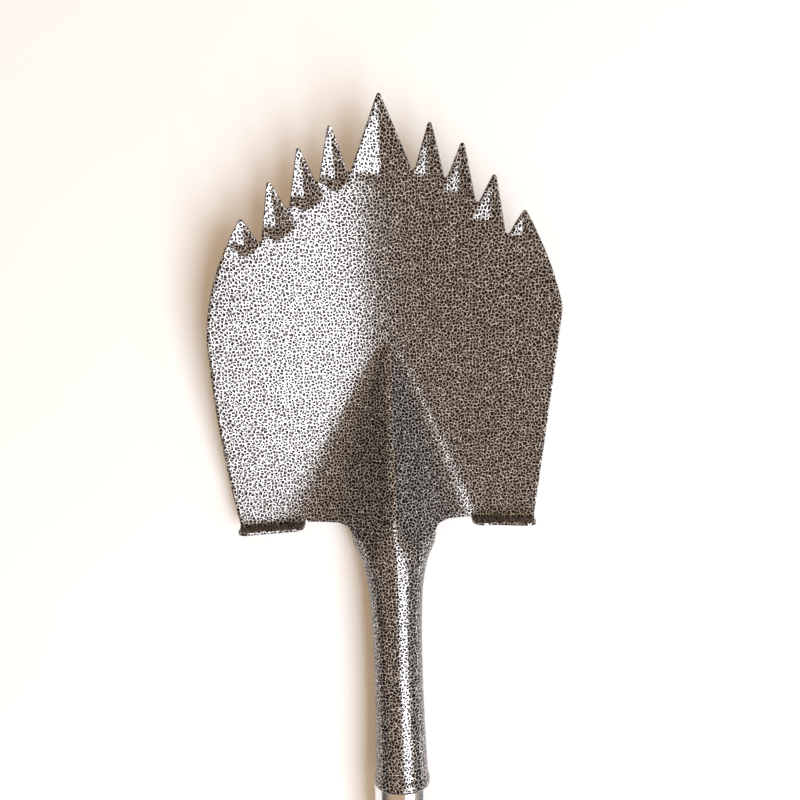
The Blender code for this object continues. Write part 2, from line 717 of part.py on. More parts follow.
def rivet_mandrel(name, side, v, material, collection):
    """The stub of the rivet's pulling pin, left inside the rivet."""
    top = RIVET_HEAD_HEIGHT - MANDREL_INSET
    bulb_end = -rivet_depth(v) - 2.0 * GAP - RIVET_BULB_LENGTH
    end = bulb_end - MANDREL_HEAD_LENGTH
    profile = [(0.0, top + MANDREL_BREAK), (MANDREL_RADIUS, top),
               (MANDREL_RADIUS, bulb_end - GAP), (MANDREL_HEAD_RADIUS, bulb_end - GAP),
               (MANDREL_HEAD_RADIUS - MANDREL_HEAD_ROUND, end), (0.0, end - MANDREL_HEAD_ROUND)]
    return turned(name, profile, rivet_matrix(side, v), material, collection, MANDREL_SIDES)


def rivet_hole(name, side, v, material, cutters):
    """Cutter for the hole of one rivet through socket and shaft."""
    bottom = -rivet_depth(v) - CUTTER_REACH
    return turned_cutter(name, RIVET_RADIUS + GAP, CUTTER_REACH, bottom, rivet_matrix(side, v),
                         material, cutters, RIVET_SIDES)


# ---------------------------------------------------------------- T-handle

def across_handle(side=1, sides=ROUND):
    """Matrix that lays a turned part along the crossbar, local +Z outwards, a facet down."""
    half_facet = Matrix.Rotation(math.pi / sides, 4, "Z")
    place = Matrix.Translation((0.0, CROSSBAR_Y, AXIS_HEIGHT))
    return place @ Matrix.Rotation(math.radians(90.0 * side), 4, "Y") @ half_facet


def crossbar_tube(material, collection):
    """Cross tube that passes through the top of the shaft."""
    half = HANDLE_HALF_WIDTH - CAP_HEAD - GAP
    inner = CROSSBAR_RADIUS - CROSSBAR_WALL
    profile = [(CROSSBAR_RADIUS, half), (CROSSBAR_RADIUS, -half), (inner, -half), (inner, half)]
    return turned("crossbar_tube", profile, across_handle(), material, collection)


def crossbar_hole(material, cutters):
    """Cutter for the cross hole in the shaft."""
    reach = SHAFT_RADIUS + CUTTER_REACH
    return turned_cutter("crossbar_hole", CROSSBAR_RADIUS + GAP, reach, -reach, across_handle(),
                         material, cutters)


def crossbar_weld(name, side, material, collection):
    """Weld bead in the corner between crossbar and shaft, a loft round the saddle curve."""
    bar = CROSSBAR_RADIUS + GAP
    shaft = SHAFT_RADIUS + GAP
    outwards = Vector((1.0, 0.0, 0.0))
    bm = bmesh.new()
    rings = []
    for i in range(ROUND):
        angle = 2.0 * math.pi * i / ROUND
        radial = Vector((0.0, math.cos(angle), math.sin(angle)))
        near = saddle_point(radial, bar, shaft)
        on_bar = near + outwards * WELD_LEG
        on_shaft = saddle_point(radial, bar + WELD_LEG * WELD_SHAFT_SHARE, shaft)
        crown = (on_bar + on_shaft) * 0.5 + (outwards + radial) * WELD_CROWN
        section = (near, on_bar, crown, on_shaft)
        rings.append([bm.verts.new(mirror_x(point, side)) for point in section])
    for ring, following in zip(rings, rings[1:] + rings[:1]):
        for k in range(len(ring)):
            bm.faces.new((ring[k - 1], ring[k], following[k], following[k - 1]))
    bmesh.ops.recalc_face_normals(bm, faces=bm.faces[:])
    bmesh.ops.translate(bm, verts=bm.verts[:], vec=(0.0, CROSSBAR_Y, AXIS_HEIGHT))
    return add_object(name, bm, material, collection, WELD_SHARP_ANGLE)


def saddle_point(radial, distance, shaft):
    """Point on the shaft's surface at a distance from the crossbar's axis."""
    across = radial * distance
    return Vector((math.sqrt(max(shaft ** 2 - across.z ** 2, 0.0)), across.y, across.z))


def mirror_x(point, side):
    """Point moved to the given side."""
    return Vector((side * point.x, point.y, point.z))


def grip(name, side, material, collection):
    """Rubber sleeve with finger grooves, flat-bottomed by one facet to lie steadily."""
    outer = AXIS_HEIGHT / math.cos(math.pi / GRIP_SIDES)
    floor = outer - GRIP_GROOVE_DEPTH
    inner = CROSSBAR_RADIUS + GAP
    end = HANDLE_HALF_WIDTH - CAP_HEAD - GAP
    pitch = (end - GRIP_START - 4.0 * GRIP_EDGE) / GRIP_GROOVES
    top_half = GRIP_GROOVE_TOP * pitch
    base_half = GRIP_GROOVE_BASE * pitch
    profile = [(outer - GRIP_EDGE, end), (outer, end - GRIP_EDGE)]
    for i in range(GRIP_GROOVES):
        middle = end - 2.0 * GRIP_EDGE - (i + 0.5) * pitch
        profile += [(outer, middle + top_half), (floor, middle + base_half),
                    (floor, middle - base_half), (outer, middle - top_half)]
    profile += [(outer, GRIP_START + GRIP_EDGE), (outer - GRIP_EDGE, GRIP_START),
                (inner, GRIP_START), (inner, end)]
    return turned(name, profile, across_handle(side, GRIP_SIDES), material, collection, GRIP_SIDES)


def grip_end_cap(name, side, material, collection):
    """Mushroom cap pushed into the end of the crossbar."""
    top = HANDLE_HALF_WIDTH
    under = top - CAP_HEAD
    end = under - CAP_PLUG_DEPTH
    head = AXIS_HEIGHT - CAP_INSET
    stem = CROSSBAR_RADIUS - CROSSBAR_WALL - GAP
    profile = [(0.0, top), (head - CAP_BEVEL, top), (head, top - CAP_BEVEL), (head, under),
               (stem, under), (stem - CAP_PLUG_TAPER, end), (0.0, end)]
    return turned(name, profile, across_handle(side), material, collection)


# ---------------------------------------------------------------- assembly

def build():
    """Build every piece of the shovel."""
    clear_scene()
    parts = make_collection("detecting_shovel")
    cutters = make_collection("cutters")
    hammertone = make_material("hammertone paint", (0.16, 0.155, 0.15), 0.35, 0.6)
    polished = make_material("polished tube", (0.78, 0.78, 0.79), 0.12, 1.0)
    weld = make_material("weld bead", (0.55, 0.53, 0.5), 0.4, 1.0)
    rivet = make_material("rivet aluminium", (0.62, 0.62, 0.63), 0.35, 1.0)
    steel = make_material("rivet pin", (0.35, 0.34, 0.33), 0.4, 1.0)
    rubber = make_material("grip rubber", (0.03, 0.03, 0.03), 0.75, 0.0)
    plastic = make_material("cap plastic", (0.04, 0.04, 0.042), 0.5, 0.0)
    cutting = make_material("cutter", (1.0, 0.0, 0.0), 0.5, 0.0)

    head = digging_head(hammertone, parts)
    shaft = shaft_tube(polished, parts)
    shaft_end_plug(plastic, parts)
    shaft_top_cap(plastic, parts)
    for station, v in RIVET_STATIONS.items():
        for side, word in SIDE_WORDS.items():
            label = station + "_" + word
            hole = rivet_hole("hole_" + label, side, v, cutting, cutters)
            add_cut(head, hole)
            add_cut(shaft, hole)
            blind_rivet("socket_rivet_" + label, side, v, rivet, parts)
            rivet_mandrel("rivet_mandrel_" + label, side, v, steel, parts)
    add_cut(shaft, crossbar_hole(cutting, cutters))
    crossbar_tube(polished, parts)
    for side, word in SIDE_WORDS.items():
        crossbar_weld("crossbar_weld_" + word, side, weld, parts)
        grip("grip_" + word, side, rubber, parts)
        grip_end_cap("end_cap_" + word, side, plastic, parts)


build()
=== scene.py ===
import math

import bmesh
import bpy
import numpy as np
from mathutils import Matrix, Vector
from mathutils.geometry import delaunay_2d_cdt


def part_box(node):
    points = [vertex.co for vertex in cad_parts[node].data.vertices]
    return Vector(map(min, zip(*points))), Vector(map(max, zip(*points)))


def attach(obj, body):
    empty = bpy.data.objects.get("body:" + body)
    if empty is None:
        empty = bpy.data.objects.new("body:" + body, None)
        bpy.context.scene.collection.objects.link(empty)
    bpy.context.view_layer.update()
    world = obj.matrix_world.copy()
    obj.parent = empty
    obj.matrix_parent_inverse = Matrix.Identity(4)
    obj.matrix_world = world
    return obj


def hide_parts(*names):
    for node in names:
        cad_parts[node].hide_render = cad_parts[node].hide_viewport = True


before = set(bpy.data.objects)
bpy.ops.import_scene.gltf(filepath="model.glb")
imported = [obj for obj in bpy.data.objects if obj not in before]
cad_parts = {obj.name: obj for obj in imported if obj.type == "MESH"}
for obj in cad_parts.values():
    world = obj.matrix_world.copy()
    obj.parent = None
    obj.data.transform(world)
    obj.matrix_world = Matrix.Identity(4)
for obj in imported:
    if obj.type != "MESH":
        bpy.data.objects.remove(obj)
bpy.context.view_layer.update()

MM = 0.001
GAP = 0.3 * MM  # running gap between neighbouring pieces
SIDE_WORDS = {-1: "left", 1: "right"}
SHARP_ANGLE = 40.0  # edges sharper than this many degrees aren't smoothed
JOIN_DISTANCE = 0.02 * MM  # points of neighbouring regions closer than this are one
SAME_POINT = 0.0001 * MM  # points of an outline closer than this are one

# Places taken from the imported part
SHAFT_LOW, SHAFT_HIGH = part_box("shaft_tube")
BAR_LOW, BAR_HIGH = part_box("crossbar_tube")
GRIP_LOW, GRIP_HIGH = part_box("grip_right")
HEAD_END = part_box("digging_head")[1].y
TOOL_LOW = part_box("shaft_top_cap")[0].y
AXIS_HEIGHT = 0.5 * (SHAFT_LOW.z + SHAFT_HIGH.z)
CROSSBAR_Y = 0.5 * (BAR_LOW.y + BAR_HIGH.y)

# Pressed sheet
SHEET = 2.3 * MM
BLADE_STEP = 2.3 * MM  # spacing of the points inside the blade
FILL_CLEARANCE = 0.5 * BLADE_STEP  # how far those points stay from edges and creases
RIM_ROUND = 0.35 * MM  # rounding of the cut edges

# Blade outline: (x, v) of the tooth tips and gullets on one side, centre tooth first
CENTRE_TIP = (0.0, 279.3 * MM)
TOOTH_TIPS = [(32.0 * MM, 261.0 * MM), (52.6 * MM, 247.0 * MM), (72.7 * MM, 226.3 * MM),
              (91.8 * MM, 203.0 * MM)]
GULLETS = [(21.1 * MM, 233.2 * MM), (41.7 * MM, 226.2 * MM), (61.9 * MM, 209.6 * MM),
           (81.0 * MM, 188.6 * MM)]
TIP_RADIUS = 1.3 * MM
GULLET_RADIUS = 1.9 * MM
BACK_TIP_REACH = 0.56 * MM  # how far the back of the sheet reaches past the centre tip
CORNER_STEPS = 6  # chords of a rounded tip or gullet
HEEL_POINTS = 10  # outline points from the neck to a step's relief cut

# The two sides of the blade are not quite alike: widest point, how far the edge bows outside
# the straight line above and below it, and the x span of the turned step
SIDES = {
    -1: {"widest": (119.0 * MM, 129.7 * MM), "upper_bow": 5.0 * MM, "lower_bow": 3.1 * MM,
         "step": (61.6 * MM, 105.7 * MM)},
    1: {"widest": (116.2 * MM, 140.3 * MM), "upper_bow": 2.8 * MM, "lower_bow": 0.7 * MM,
        "step": (54.4 * MM, 97.3 * MM)},
}

# Blade surface
HEEL_DEPTH = -27.3 * MM  # centre of the dish below the shaft axis at the heel
HEEL_SLOPE = 0.0903  # rise of the blade towards the tip at the heel line
LONG_CURVE = 0.472  # added rise, per metre of v squared
DISH_SLOPE = 0.24  # tilt of the wings at the heel
DISH_GAIN = 0.03  # extra tilt of the wings from DISH_RUN onwards
DISH_RUN = 120.0 * MM
DISH_BEND = 32.0 * MM  # softness of the fold between the two wings

# Raised frog
FROG_LENGTH = 126.0 * MM
FROG_HALF_WIDTH = {-1: 56.0 * MM, 1: 52.0 * MM}
FROG_TAPER = 0.85
CREST_HEIGHT = 16.8 * MM  # crest above the shaft axis, level with the socket
CREST_FALL = 1.2  # power of the crest's fall towards the apex
CREST_ROUND = 2.0 * MM
CREST_LINES = (1.0 * MM, 2.2 * MM, 3.8 * MM)  # mesh lines each side of the crest
FROG_FILLET = 0.22  # softness of the fold where the ridge meets the dish

# Folded teeth
FOLD_SLOPE = math.tan(math.radians(15.0))
CENTRE_FOLD_SLOPE = math.tan(math.radians(9.0))
FOLD_START = 2.0 * TIP_RADIUS  # a fold's mesh line starts this far below its tip
FOLD_RUNOUT = 9.0 * MM  # the fold fades out this far below the gullets
CENTRE_FOLD_RUNOUT = 16.0 * MM
FOLD_ROUND = 0.5 * MM  # softness of the crease at the bottom of a fold

# Turned steps
STEP_HEIGHT = 15.0 * MM
STEP_LEAN = math.radians(8.0)
STEP_BEND_RADIUS = 2.5 * MM  # inside radius of the bend
STEP_CORNER_RADIUS = 7.5 * MM
STEP_RELIEF = 2.0 * MM
STEP_COLUMNS = 24
STEP_BEND_ROWS = 8
STEP_FLAT_ROWS = 3
STEP_CORNER_ROWS = 8

# Neck and socket: v, half width, half height, angle the sheet wraps to, share of frog section
NECK_CORNER = 38.0 * MM  # half width where the neck meets the heel line
NECK_EDGE = 28.6 * MM  # half width of the free edge below its corner fillet
NECK_FILLET = 9.0 * MM
SOCKET_STATIONS = [
    (0.0, 30.5 * MM, 25.0 * MM, 84.0, 1.00),
    (-8.0 * MM, 29.2 * MM, 24.0 * MM, 92.0, 0.80),
    (-17.0 * MM, 27.2 * MM, 22.5 * MM, 104.0, 0.45),
    (-27.0 * MM, 22.8 * MM, 20.0 * MM, 128.0, 0.20),
    (-40.0 * MM, 19.6 * MM, 17.9 * MM, 155.0, 0.08),
    (-54.0 * MM, 17.9 * MM, 17.1 * MM, 177.0, 0.00),
    (-80.0 * MM, 16.8 * MM, 16.8 * MM, 177.0, 0.00),
    (-121.0 * MM, 16.6 * MM, 16.6 * MM, 177.0, 0.00),
    (-168.0 * MM, 17.8 * MM, 17.8 * MM, 177.0, 0.00),
    (-172.0 * MM, 18.7 * MM, 18.7 * MM, 177.0, 0.00),
    (-175.6 * MM, 18.8 * MM, 18.8 * MM, 177.0, 0.00),
]
SOCKET_COLUMNS = 64
SOCKET_ROUND_START = SOCKET_STATIONS[6][0]
SOCKET_LIP = SOCKET_STATIONS[-1][0]
SOCKET_RUNS = [(-60.0 * MM, 30), (-168.0 * MM, 30), (-172.0 * MM, 6),
               (SOCKET_LIP, 4)]  # mesh rows: where each run of rows ends, and its number

# Shaft tube and its plugs
SHAFT_RADIUS = 19.05 * MM
SHAFT_WALL = 1.6 * MM
SHOULDER_ROUND = 0.8 * MM
SHOULDER_BLEND = 6.0 * MM  # length of the inner slope behind the shoulder
NOSE_MOUTH_RADIUS = 14.9 * MM  # swaged nose just inside the socket mouth
NOSE_RADIUS = 13.7 * MM
NOSE_TAPER_END = -120.0 * MM
NOSE_END = -62.0 * MM
TUBE_EDGE = 0.3 * MM  # rounding of a cut tube's end
PLUG_HEAD = 2.5 * MM
PLUG_DIMPLE = 0.9 * MM
PLUG_DIMPLE_RADII = (5.0 * MM, 5.9 * MM)
PLUG_STEM = 14.0 * MM
PLUG_STEM_TAPER = 0.4 * MM
TOP_CAP_STEM = 6.0 * MM
TOP_CAP_DOME = 2.4 * MM

# Blind rivets each side of the socket's seam
RIVET_ANGLE = math.radians(146.0)  # around the socket from its crest
RIVET_STATIONS = {"lower": -98.0 * MM, "upper": -152.0 * MM}
RIVET_RADIUS = 2.4 * MM
RIVET_HEAD_RADIUS = 4.7 * MM
RIVET_HEAD_HEIGHT = 1.5 * MM
RIVET_DOME = [(1.7 * MM, 0.0, 0.2 * MM), (2.9 * MM, 0.2 * MM, 0.5 * MM),
              (4.1 * MM, 0.8 * MM, 0.4 * MM)]  # radius, depth below the top, rounding
RIVET_BULB_RADIUS = 3.5 * MM
RIVET_BULB_LENGTH = 3.0 * MM
RIVET_BULB_SLOPE = 0.8 * MM
MANDREL_RADIUS = 1.0 * MM
MANDREL_INSET = 0.4 * MM  # broken end below the top of the rivet's head
MANDREL_BREAK = [(0.0, 0.0, 0.0), (0.45 * MM, 0.15 * MM, 0.1 * MM),
                 (0.75 * MM, 0.05 * MM, 0.1 * MM), (0.8 * MM, 0.6 * MM, 0.1 * MM),
                 (MANDREL_RADIUS, 0.9 * MM, 0.1 * MM)]  # like RIVET_DOME
MANDREL_HEAD_RADIUS = 2.0 * MM
MANDREL_HEAD_LENGTH = 1.5 * MM

# T-handle
CROSSBAR_RADIUS = 14.3 * MM
CROSSBAR_WALL = 1.6 * MM
WELD_LEG = 4.0 * MM
WELD_RIPPLES = 34
GRIP_COLLAR = 5.0 * MM
GRIP_BANDS = 4
GRIP_RIBS = 6  # ribs in each band
GRIP_GROOVE = 1.3 * MM
CAP_HEAD = 4.0 * MM
CAP_INSET = 1.6 * MM  # cap smaller than the grip by this much
CAP_PLUG_DEPTH = 16.0 * MM
CAP_PLUG_TAPER = 0.5 * MM
CAP_RING = (13.4 * MM, 13.0 * MM, 11.6 * MM, 11.2 * MM)  # radii of the ring groove's corners
CAP_DIMPLE = (2.4 * MM, 1.6 * MM)
CAP_RELIEF = 0.5 * MM

HEEL_Y = HEAD_END - CENTRE_TIP[1] - BACK_TIP_REACH
ROUND = 128  # sides of a full turn on the tubes
GRIP_SIDES = 96
PLUG_SIDES = 64
RIVET_SIDES = 48
MANDREL_SIDES = 32
CUTTER_REACH = 3.0 * MM  # how far a cutter stands out of the piece it cuts

# Paint
PAINT_CELL = 2.15 * MM  # spacing of the hammertone's pits

# Stage
SEEN_CENTRE = Vector((0.0, HEEL_Y + 80.0 * MM, AXIS_HEIGHT))
KEY_DIRECTION = Vector((0.56, -0.60, 1.0))
KEY_DISTANCE = 3.0
KEY_SIZE = (1.55, 2.4)
KEY_RADIANCE = 7.6
KEY_COLOUR = (0.93, 1.01, 1.12)
CAMERA_PLACE = (7.2 * MM, HEEL_Y + 83.0 * MM, AXIS_HEIGHT + 544.0 * MM)
CAMERA_TURN = math.radians(-1.95)
CAMERA_LENS = 36.0  # in millimetres, like the sensor's width
CAMERA_SENSOR = 36.0
FLOOR_HALF_SIZE = 20.0


# ---------------- mesh helpers

def add_piece(name, bm, material, node, sharp_angle=SHARP_ANGLE):
    """Make a piece from a bmesh that stands for a CAD node."""
    mesh = bpy.data.meshes.new(name)
    bm.to_mesh(mesh)
    bm.free()
    mesh.materials.append(material)
    obj = bpy.data.objects.new(name, mesh)
    bpy.context.scene.collection.objects.link(obj)
    smooth(obj, sharp_angle)
    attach(obj, "root")
    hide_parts(node)
    return obj


def smooth(obj, sharp_angle):
    """Shade a piece smooth up to an angle in degrees."""
    obj.data.shade_smooth()
    obj.data.set_sharp_from_angle(angle=math.radians(sharp_angle))


def apply_modifiers(obj, sharp_angle):
    """Turn a piece's modifiers into its mesh."""
    depsgraph = bpy.context.evaluated_depsgraph_get()
    mesh = bpy.data.meshes.new_from_object(obj.evaluated_get(depsgraph))
    obj.modifiers.clear()
    obj.data = mesh
    smooth(obj, sharp_angle)


def add_cut(obj, cutter):
    """Cut one object out of another."""
    cut = obj.modifiers.new("cut", "BOOLEAN")
    cut.operation = "DIFFERENCE"
    cut.solver = "EXACT"
    cut.object = cutter


def lathe(profile, matrix, sides=ROUND):
    """Bmesh of a (radius, height) profile turned about local Z, from its top down its outside."""
    closed = profile[0][0] > 0.0
    bm = bmesh.new()
    rings = []
    for radius, height in profile:
        count = sides if radius > 0.0 else 1
        ring = []
        for i in range(count):
            angle = 2.0 * math.pi * i / sides
            ring.append(bm.verts.new((radius * math.cos(angle), radius * math.sin(angle), height)))
        rings.append(ring)
    pairs = list(zip(rings, rings[1:]))
    if closed:
        pairs.append((rings[-1], rings[0]))
    for upper, lower in pairs:
        for i in range(sides):
            j = (i + 1) % sides
            corners = [upper[i % len(upper)], lower[i % len(lower)],
                       lower[j % len(lower)], upper[j % len(upper)]]
            bm.faces.new(list(dict.fromkeys(corners)))
    bmesh.ops.transform(bm, matrix=matrix, verts=bm.verts[:])
    bmesh.ops.recalc_face_normals(bm, faces=bm.faces[:])
    return bm


def rounded_profile(corners, steps=4):
    """Profile through (radius, height, rounding) corners, with each corner made an arc."""
    points = []
    last = len(corners) - 1
    for i, (radius, height, rounding) in enumerate(corners):
        here = Vector((radius, height))
        if rounding == 0.0:
            points.append((radius, height))
            continue
        before = Vector(corners[i - 1][:2])
        after = Vector(corners[i + 1 if i < last else 0][:2])
        start = here + (before - here).normalized() * rounding
        end = here + (after - here).normalized() * rounding
        for k in range(steps + 1):
            t = k / steps
            point = start * (1.0 - t) ** 2 + here * 2.0 * t * (1.0 - t) + end * t ** 2
            points.append(tuple(point))
    return points


# ---------------- head: surface

def blade_floor(v):
    """Height of the centre of the dish along the blade."""
    return HEEL_DEPTH + HEEL_SLOPE * v + LONG_CURVE * v * v


def dish_rise(x, v):
    """Rise of the wings above the centre of the dish."""
    slope = DISH_SLOPE + DISH_GAIN * np.clip(v / DISH_RUN, 0.0, 1.0)
    return slope * (np.hypot(x, DISH_BEND) - DISH_BEND)


def frog_rise(x, v):
    """Height of the triangular ridge that runs from the socket into the blade."""
    along = np.clip(1.0 - v / FROG_LENGTH, 1e-6, None)
    fall = (CREST_HEIGHT - blade_floor(FROG_LENGTH)) * np.clip(1.0 - along, 0.0, 1.0) ** CREST_FALL
    height = np.maximum(CREST_HEIGHT - fall - blade_floor(v), 0.0)
    half_width = np.where(x < 0.0, FROG_HALF_WIDTH[-1], FROG_HALF_WIDTH[1]) * along ** FROG_TAPER
    across = 1.0 - np.hypot(x, CREST_ROUND) / half_width
    rise = height * 0.5 * (across + np.hypot(across, FROG_FILLET))
    return np.where(v < FROG_LENGTH, rise, 0.0)


def tooth_folds():
    """List (tip, root, half width, run-out, slope) for every tooth, on both sides."""
    gullet_x, gullet_v = GULLETS[0]
    folds = [(CENTRE_TIP, (0.0, gullet_v), gullet_x, CENTRE_FOLD_RUNOUT, CENTRE_FOLD_SLOPE)]
    outer_roots = GULLETS[1:] + [(2.0 * TOOTH_TIPS[-1][0] - GULLETS[-1][0], GULLETS[-1][1])]
    for tip, inner, outer in zip(TOOTH_TIPS, GULLETS, outer_roots):
        root = (0.5 * (inner[0] + outer[0]), 0.5 * (inner[1] + outer[1]))
        half_width = 0.5 * math.dist(inner, outer)
        for side in (-1, 1):
            folds.append(((side * tip[0], tip[1]), (side * root[0], root[1]), half_width,
                          FOLD_RUNOUT, FOLD_SLOPE))
    return folds


FOLDS = tooth_folds()


def fold_drop(x, v):
    """Depth of the V fold pressed into the teeth, kite shaped in plan."""
    drop = np.zeros(np.broadcast(x, v).shape)
    for tip, root, half_width, runout, slope in FOLDS:
        axis = Vector(root) - Vector(tip)
        length = axis.length
        axis.normalize()
        along = (x - tip[0]) * axis.x + (v - tip[1]) * axis.y
        across = np.hypot((x - tip[0]) * axis.y - (v - tip[1]) * axis.x, FOLD_ROUND)
        width = half_width * np.minimum(along / length, (length + runout - along) / runout)
        drop = np.maximum(drop, slope * (width - across))
    return drop


def blade_height(x, v):
    """Height of the blade's front face above the ground."""
    return AXIS_HEIGHT + blade_floor(v) + dish_rise(x, v) + frog_rise(x, v) - fold_drop(x, v)


# ---------------- head: outline

def corner_ways(before, corner, after):
    """Unit vectors from a corner to its neighbours and between them, and half its angle."""
    to_before = (Vector(before) - Vector(corner)).normalized()
    to_after = (Vector(after) - Vector(corner)).normalized()
    middle = (to_before + to_after).normalized()
    return to_before, to_after, middle, 0.5 * to_before.angle(to_after)


def rounded_corner(before, corner, after, radius):
    """Points of the arc that rounds a corner of an outline."""
    to_before, to_after, middle, half_angle = corner_ways(before, corner, after)
    centre = Vector(corner) + middle * radius / math.sin(half_angle)
    start = Vector(corner) + to_before * radius / math.tan(half_angle) - centre
    end = Vector(corner) + to_after * radius / math.tan(half_angle) - centre
    turn = start.angle_signed(end)
    points = []
    for i in range(CORNER_STEPS + 1):
        angle = -turn * i / CORNER_STEPS
        points.append(tuple(centre + Matrix.Rotation(angle, 2) @ start))
    return points


def sharp_corner(before, corner, after, radius):
    """Corner to be rounded so that the middle of its arc lands on the given point."""
    _, _, middle, half_angle = corner_ways(before, corner, after)
    return tuple(Vector(corner) - middle * radius * (1.0 / math.sin(half_angle) - 1.0))


def bowed_edge(start, end, bow):
    """Inner points of an arc from start to end that bows out to the right of the way."""
    start = Vector(start)
    way = Vector(end) - start
    steps = max(round(way.length / BLADE_STEP), 2)
    outward = Vector((way.y, -way.x)).normalized()
    points = []
    for i in range(1, steps):
        t = i / steps
        points.append(tuple(start + way * t + outward * bow * 4.0 * t * (1.0 - t)))
    return points


def step_foot_height(side):
    """Height of the blade at the inner end of a step."""
    return float(blade_height(side * SIDES[side]["step"][0], STEP_BEND_RADIUS))


def step_edge(x, side):
    """v where the bend of a turned step begins, so that the tread is one plane.

    The blade's height at that line depends on v, so v is worked out in a few rounds.
    """
    v = STEP_BEND_RADIUS
    for _ in range(4):
        rise = float(blade_height(side * x, v)) - step_foot_height(side)
        v = STEP_BEND_RADIUS / math.cos(STEP_LEAN) - (rise + STEP_BEND_RADIUS) * math.tan(STEP_LEAN)
    return v


def step_columns(side):
    """x of the mesh columns of a turned step, from its inner end outwards."""
    return list(np.linspace(*SIDES[side]["step"], STEP_COLUMNS + 1))


def side_outline(side):
    """Outline of one half from the neck round to the centre tooth, as positive x."""
    spec = SIDES[side]
    columns = step_columns(side)
    relief = columns[0] - STEP_RELIEF
    points = [(x, 0.0) for x in np.linspace(NECK_CORNER, relief, HEEL_POINTS)[1:]]
    points += [(x, step_edge(x, side)) for x in columns]
    points += bowed_edge(points[-1], spec["widest"], spec["lower_bow"])
    points.append(spec["widest"])
    last_tip = TOOTH_TIPS[-1]
    upper = bowed_edge(spec["widest"], last_tip, spec["upper_bow"])
    points += upper[:-1]
    zigzag = [upper[-2]]
    for tip, gullet in zip(reversed(TOOTH_TIPS), reversed(GULLETS)):
        zigzag += [tip, gullet]
    zigzag += [CENTRE_TIP, (-GULLETS[0][0], GULLETS[0][1])]
    radii = [TIP_RADIUS if i % 2 else GULLET_RADIUS for i in range(len(zigzag))]
    corners = list(zigzag)
    for i in range(1, len(zigzag) - 1):
        corners[i] = sharp_corner(zigzag[i - 1], zigzag[i], zigzag[i + 1], radii[i])
    corners[-1] = (-corners[-3][0], corners[-3][1])
    for i in range(1, len(zigzag) - 2):
        arc = rounded_corner(corners[i - 1], corners[i], corners[i + 1], radii[i])
        points += straight_run(points[-1], arc[0]) + arc
    centre_arc = rounded_corner(*corners[-3:], TIP_RADIUS)
    half_arc = centre_arc[:CORNER_STEPS // 2 + 1]
    return points + straight_run(points[-1], centre_arc[0]) + half_arc


def straight_run(start, end):
    """Inner points of a straight stretch of the outline."""
    steps = max(round(math.dist(start, end) / BLADE_STEP), 1)
    return [tuple(Vector(start).lerp(Vector(end), i / steps)) for i in range(1, steps)]


def socket_shares():
    """Positions of the mesh columns around the wrapped sheet."""
    return list(np.linspace(-1.0, 1.0, SOCKET_COLUMNS + 1))


def blade_outline():
    """Closed outline of the blade, counter-clockwise from the right end of the neck."""
    right = side_outline(1)
    left = [(-x, v) for x, v in reversed(side_outline(-1)[:-1])]
    neck = [(share * NECK_CORNER, 0.0) for share in socket_shares()]
    return right + left + neck


def crease_lines():
    """Lines that the mesh follows: the frog's crest and the fold of each tooth."""
    lines = []
    steps = round(FROG_LENGTH / BLADE_STEP)
    for x in [0.0] + [side * offset for offset in CREST_LINES for side in (-1, 1)]:
        first = 0 if x == 0.0 else 1
        lines.append([(x, FROG_LENGTH * i / steps) for i in range(first, steps)])
    for tip, root, _, runout, _ in FOLDS:
        way = (Vector(root) - Vector(tip)).normalized()
        start = Vector(tip) + way * FOLD_START
        end = Vector(root) + way * runout
        count = round((end - start).length / BLADE_STEP)
        lines.append([tuple(start.lerp(end, i / count)) for i in range(count + 1)])
    return lines


def fill_points(outline, creases):
    """Staggered points inside the outline, clear of its edge and of the creases."""
    row_step = BLADE_STEP * math.sqrt(0.75)
    rows = np.arange(int(CENTRE_TIP[1] / row_step) + 1)
    reach = int(SIDES[-1]["widest"][0] / BLADE_STEP) + 1
    columns = np.arange(-reach, reach + 1)
    row, column = np.meshgrid(rows, columns, indexing="ij")
    x = ((column + 0.5 * (row % 2)) * BLADE_STEP).ravel()
    v = ((row + 0.5) * row_step).ravel()
    inside = np.zeros(x.shape, bool)
    clear = np.full(x.shape, 1.0)
    for (x0, v0), (x1, v1) in zip(outline, outline[1:] + outline[:1]):
        run_x = x1 - x0
        run_v = v1 - v0
        if v0 != v1:
            crosses = (v0 > v) != (v1 > v)
            inside ^= crosses & (x < x0 + (v - v0) * run_x / run_v)
        length = max(math.hypot(run_x, run_v), SAME_POINT)
        t = np.clip(((x - x0) * run_x + (v - v0) * run_v) / length ** 2, 0.0, 1.0)
        clear = np.minimum(clear, np.hypot(x - x0 - t * run_x, v - v0 - t * run_v))
    for line in creases:
        for crease_x, crease_v in line:
            clear = np.minimum(clear, np.hypot(x - crease_x, v - crease_v))
    keep = inside & (clear > FILL_CLEARANCE)
    return list(zip(x[keep].tolist(), v[keep].tolist()))


def add_blade(bm):
    """Triangulate the blade's outline and press it to shape."""
    outline = blade_outline()
    creases = crease_lines()
    points = list(outline)
    edges = []
    for line in creases:
        numbers = []
        for point in line:
            if point in outline:
                numbers.append(outline.index(point))
            else:
                numbers.append(len(points))
                points.append(point)
        edges += list(zip(numbers, numbers[1:]))
    points += fill_points(outline, creases)
    vectors = [Vector(point) for point in points]
    loop = [list(range(len(outline)))]
    only_inside = 1
    flat, _, faces, _, _, _ = delaunay_2d_cdt(vectors, edges, loop, only_inside, SAME_POINT)
    x, v = np.array([tuple(point) for point in flat]).T
    heights = blade_height(x, v)
    verts = [bm.verts.new(point) for point in zip(x, v + HEEL_Y, heights)]
    for face in faces:
        bm.faces.new([verts[i] for i in face])


# ---------------- head: steps and socket

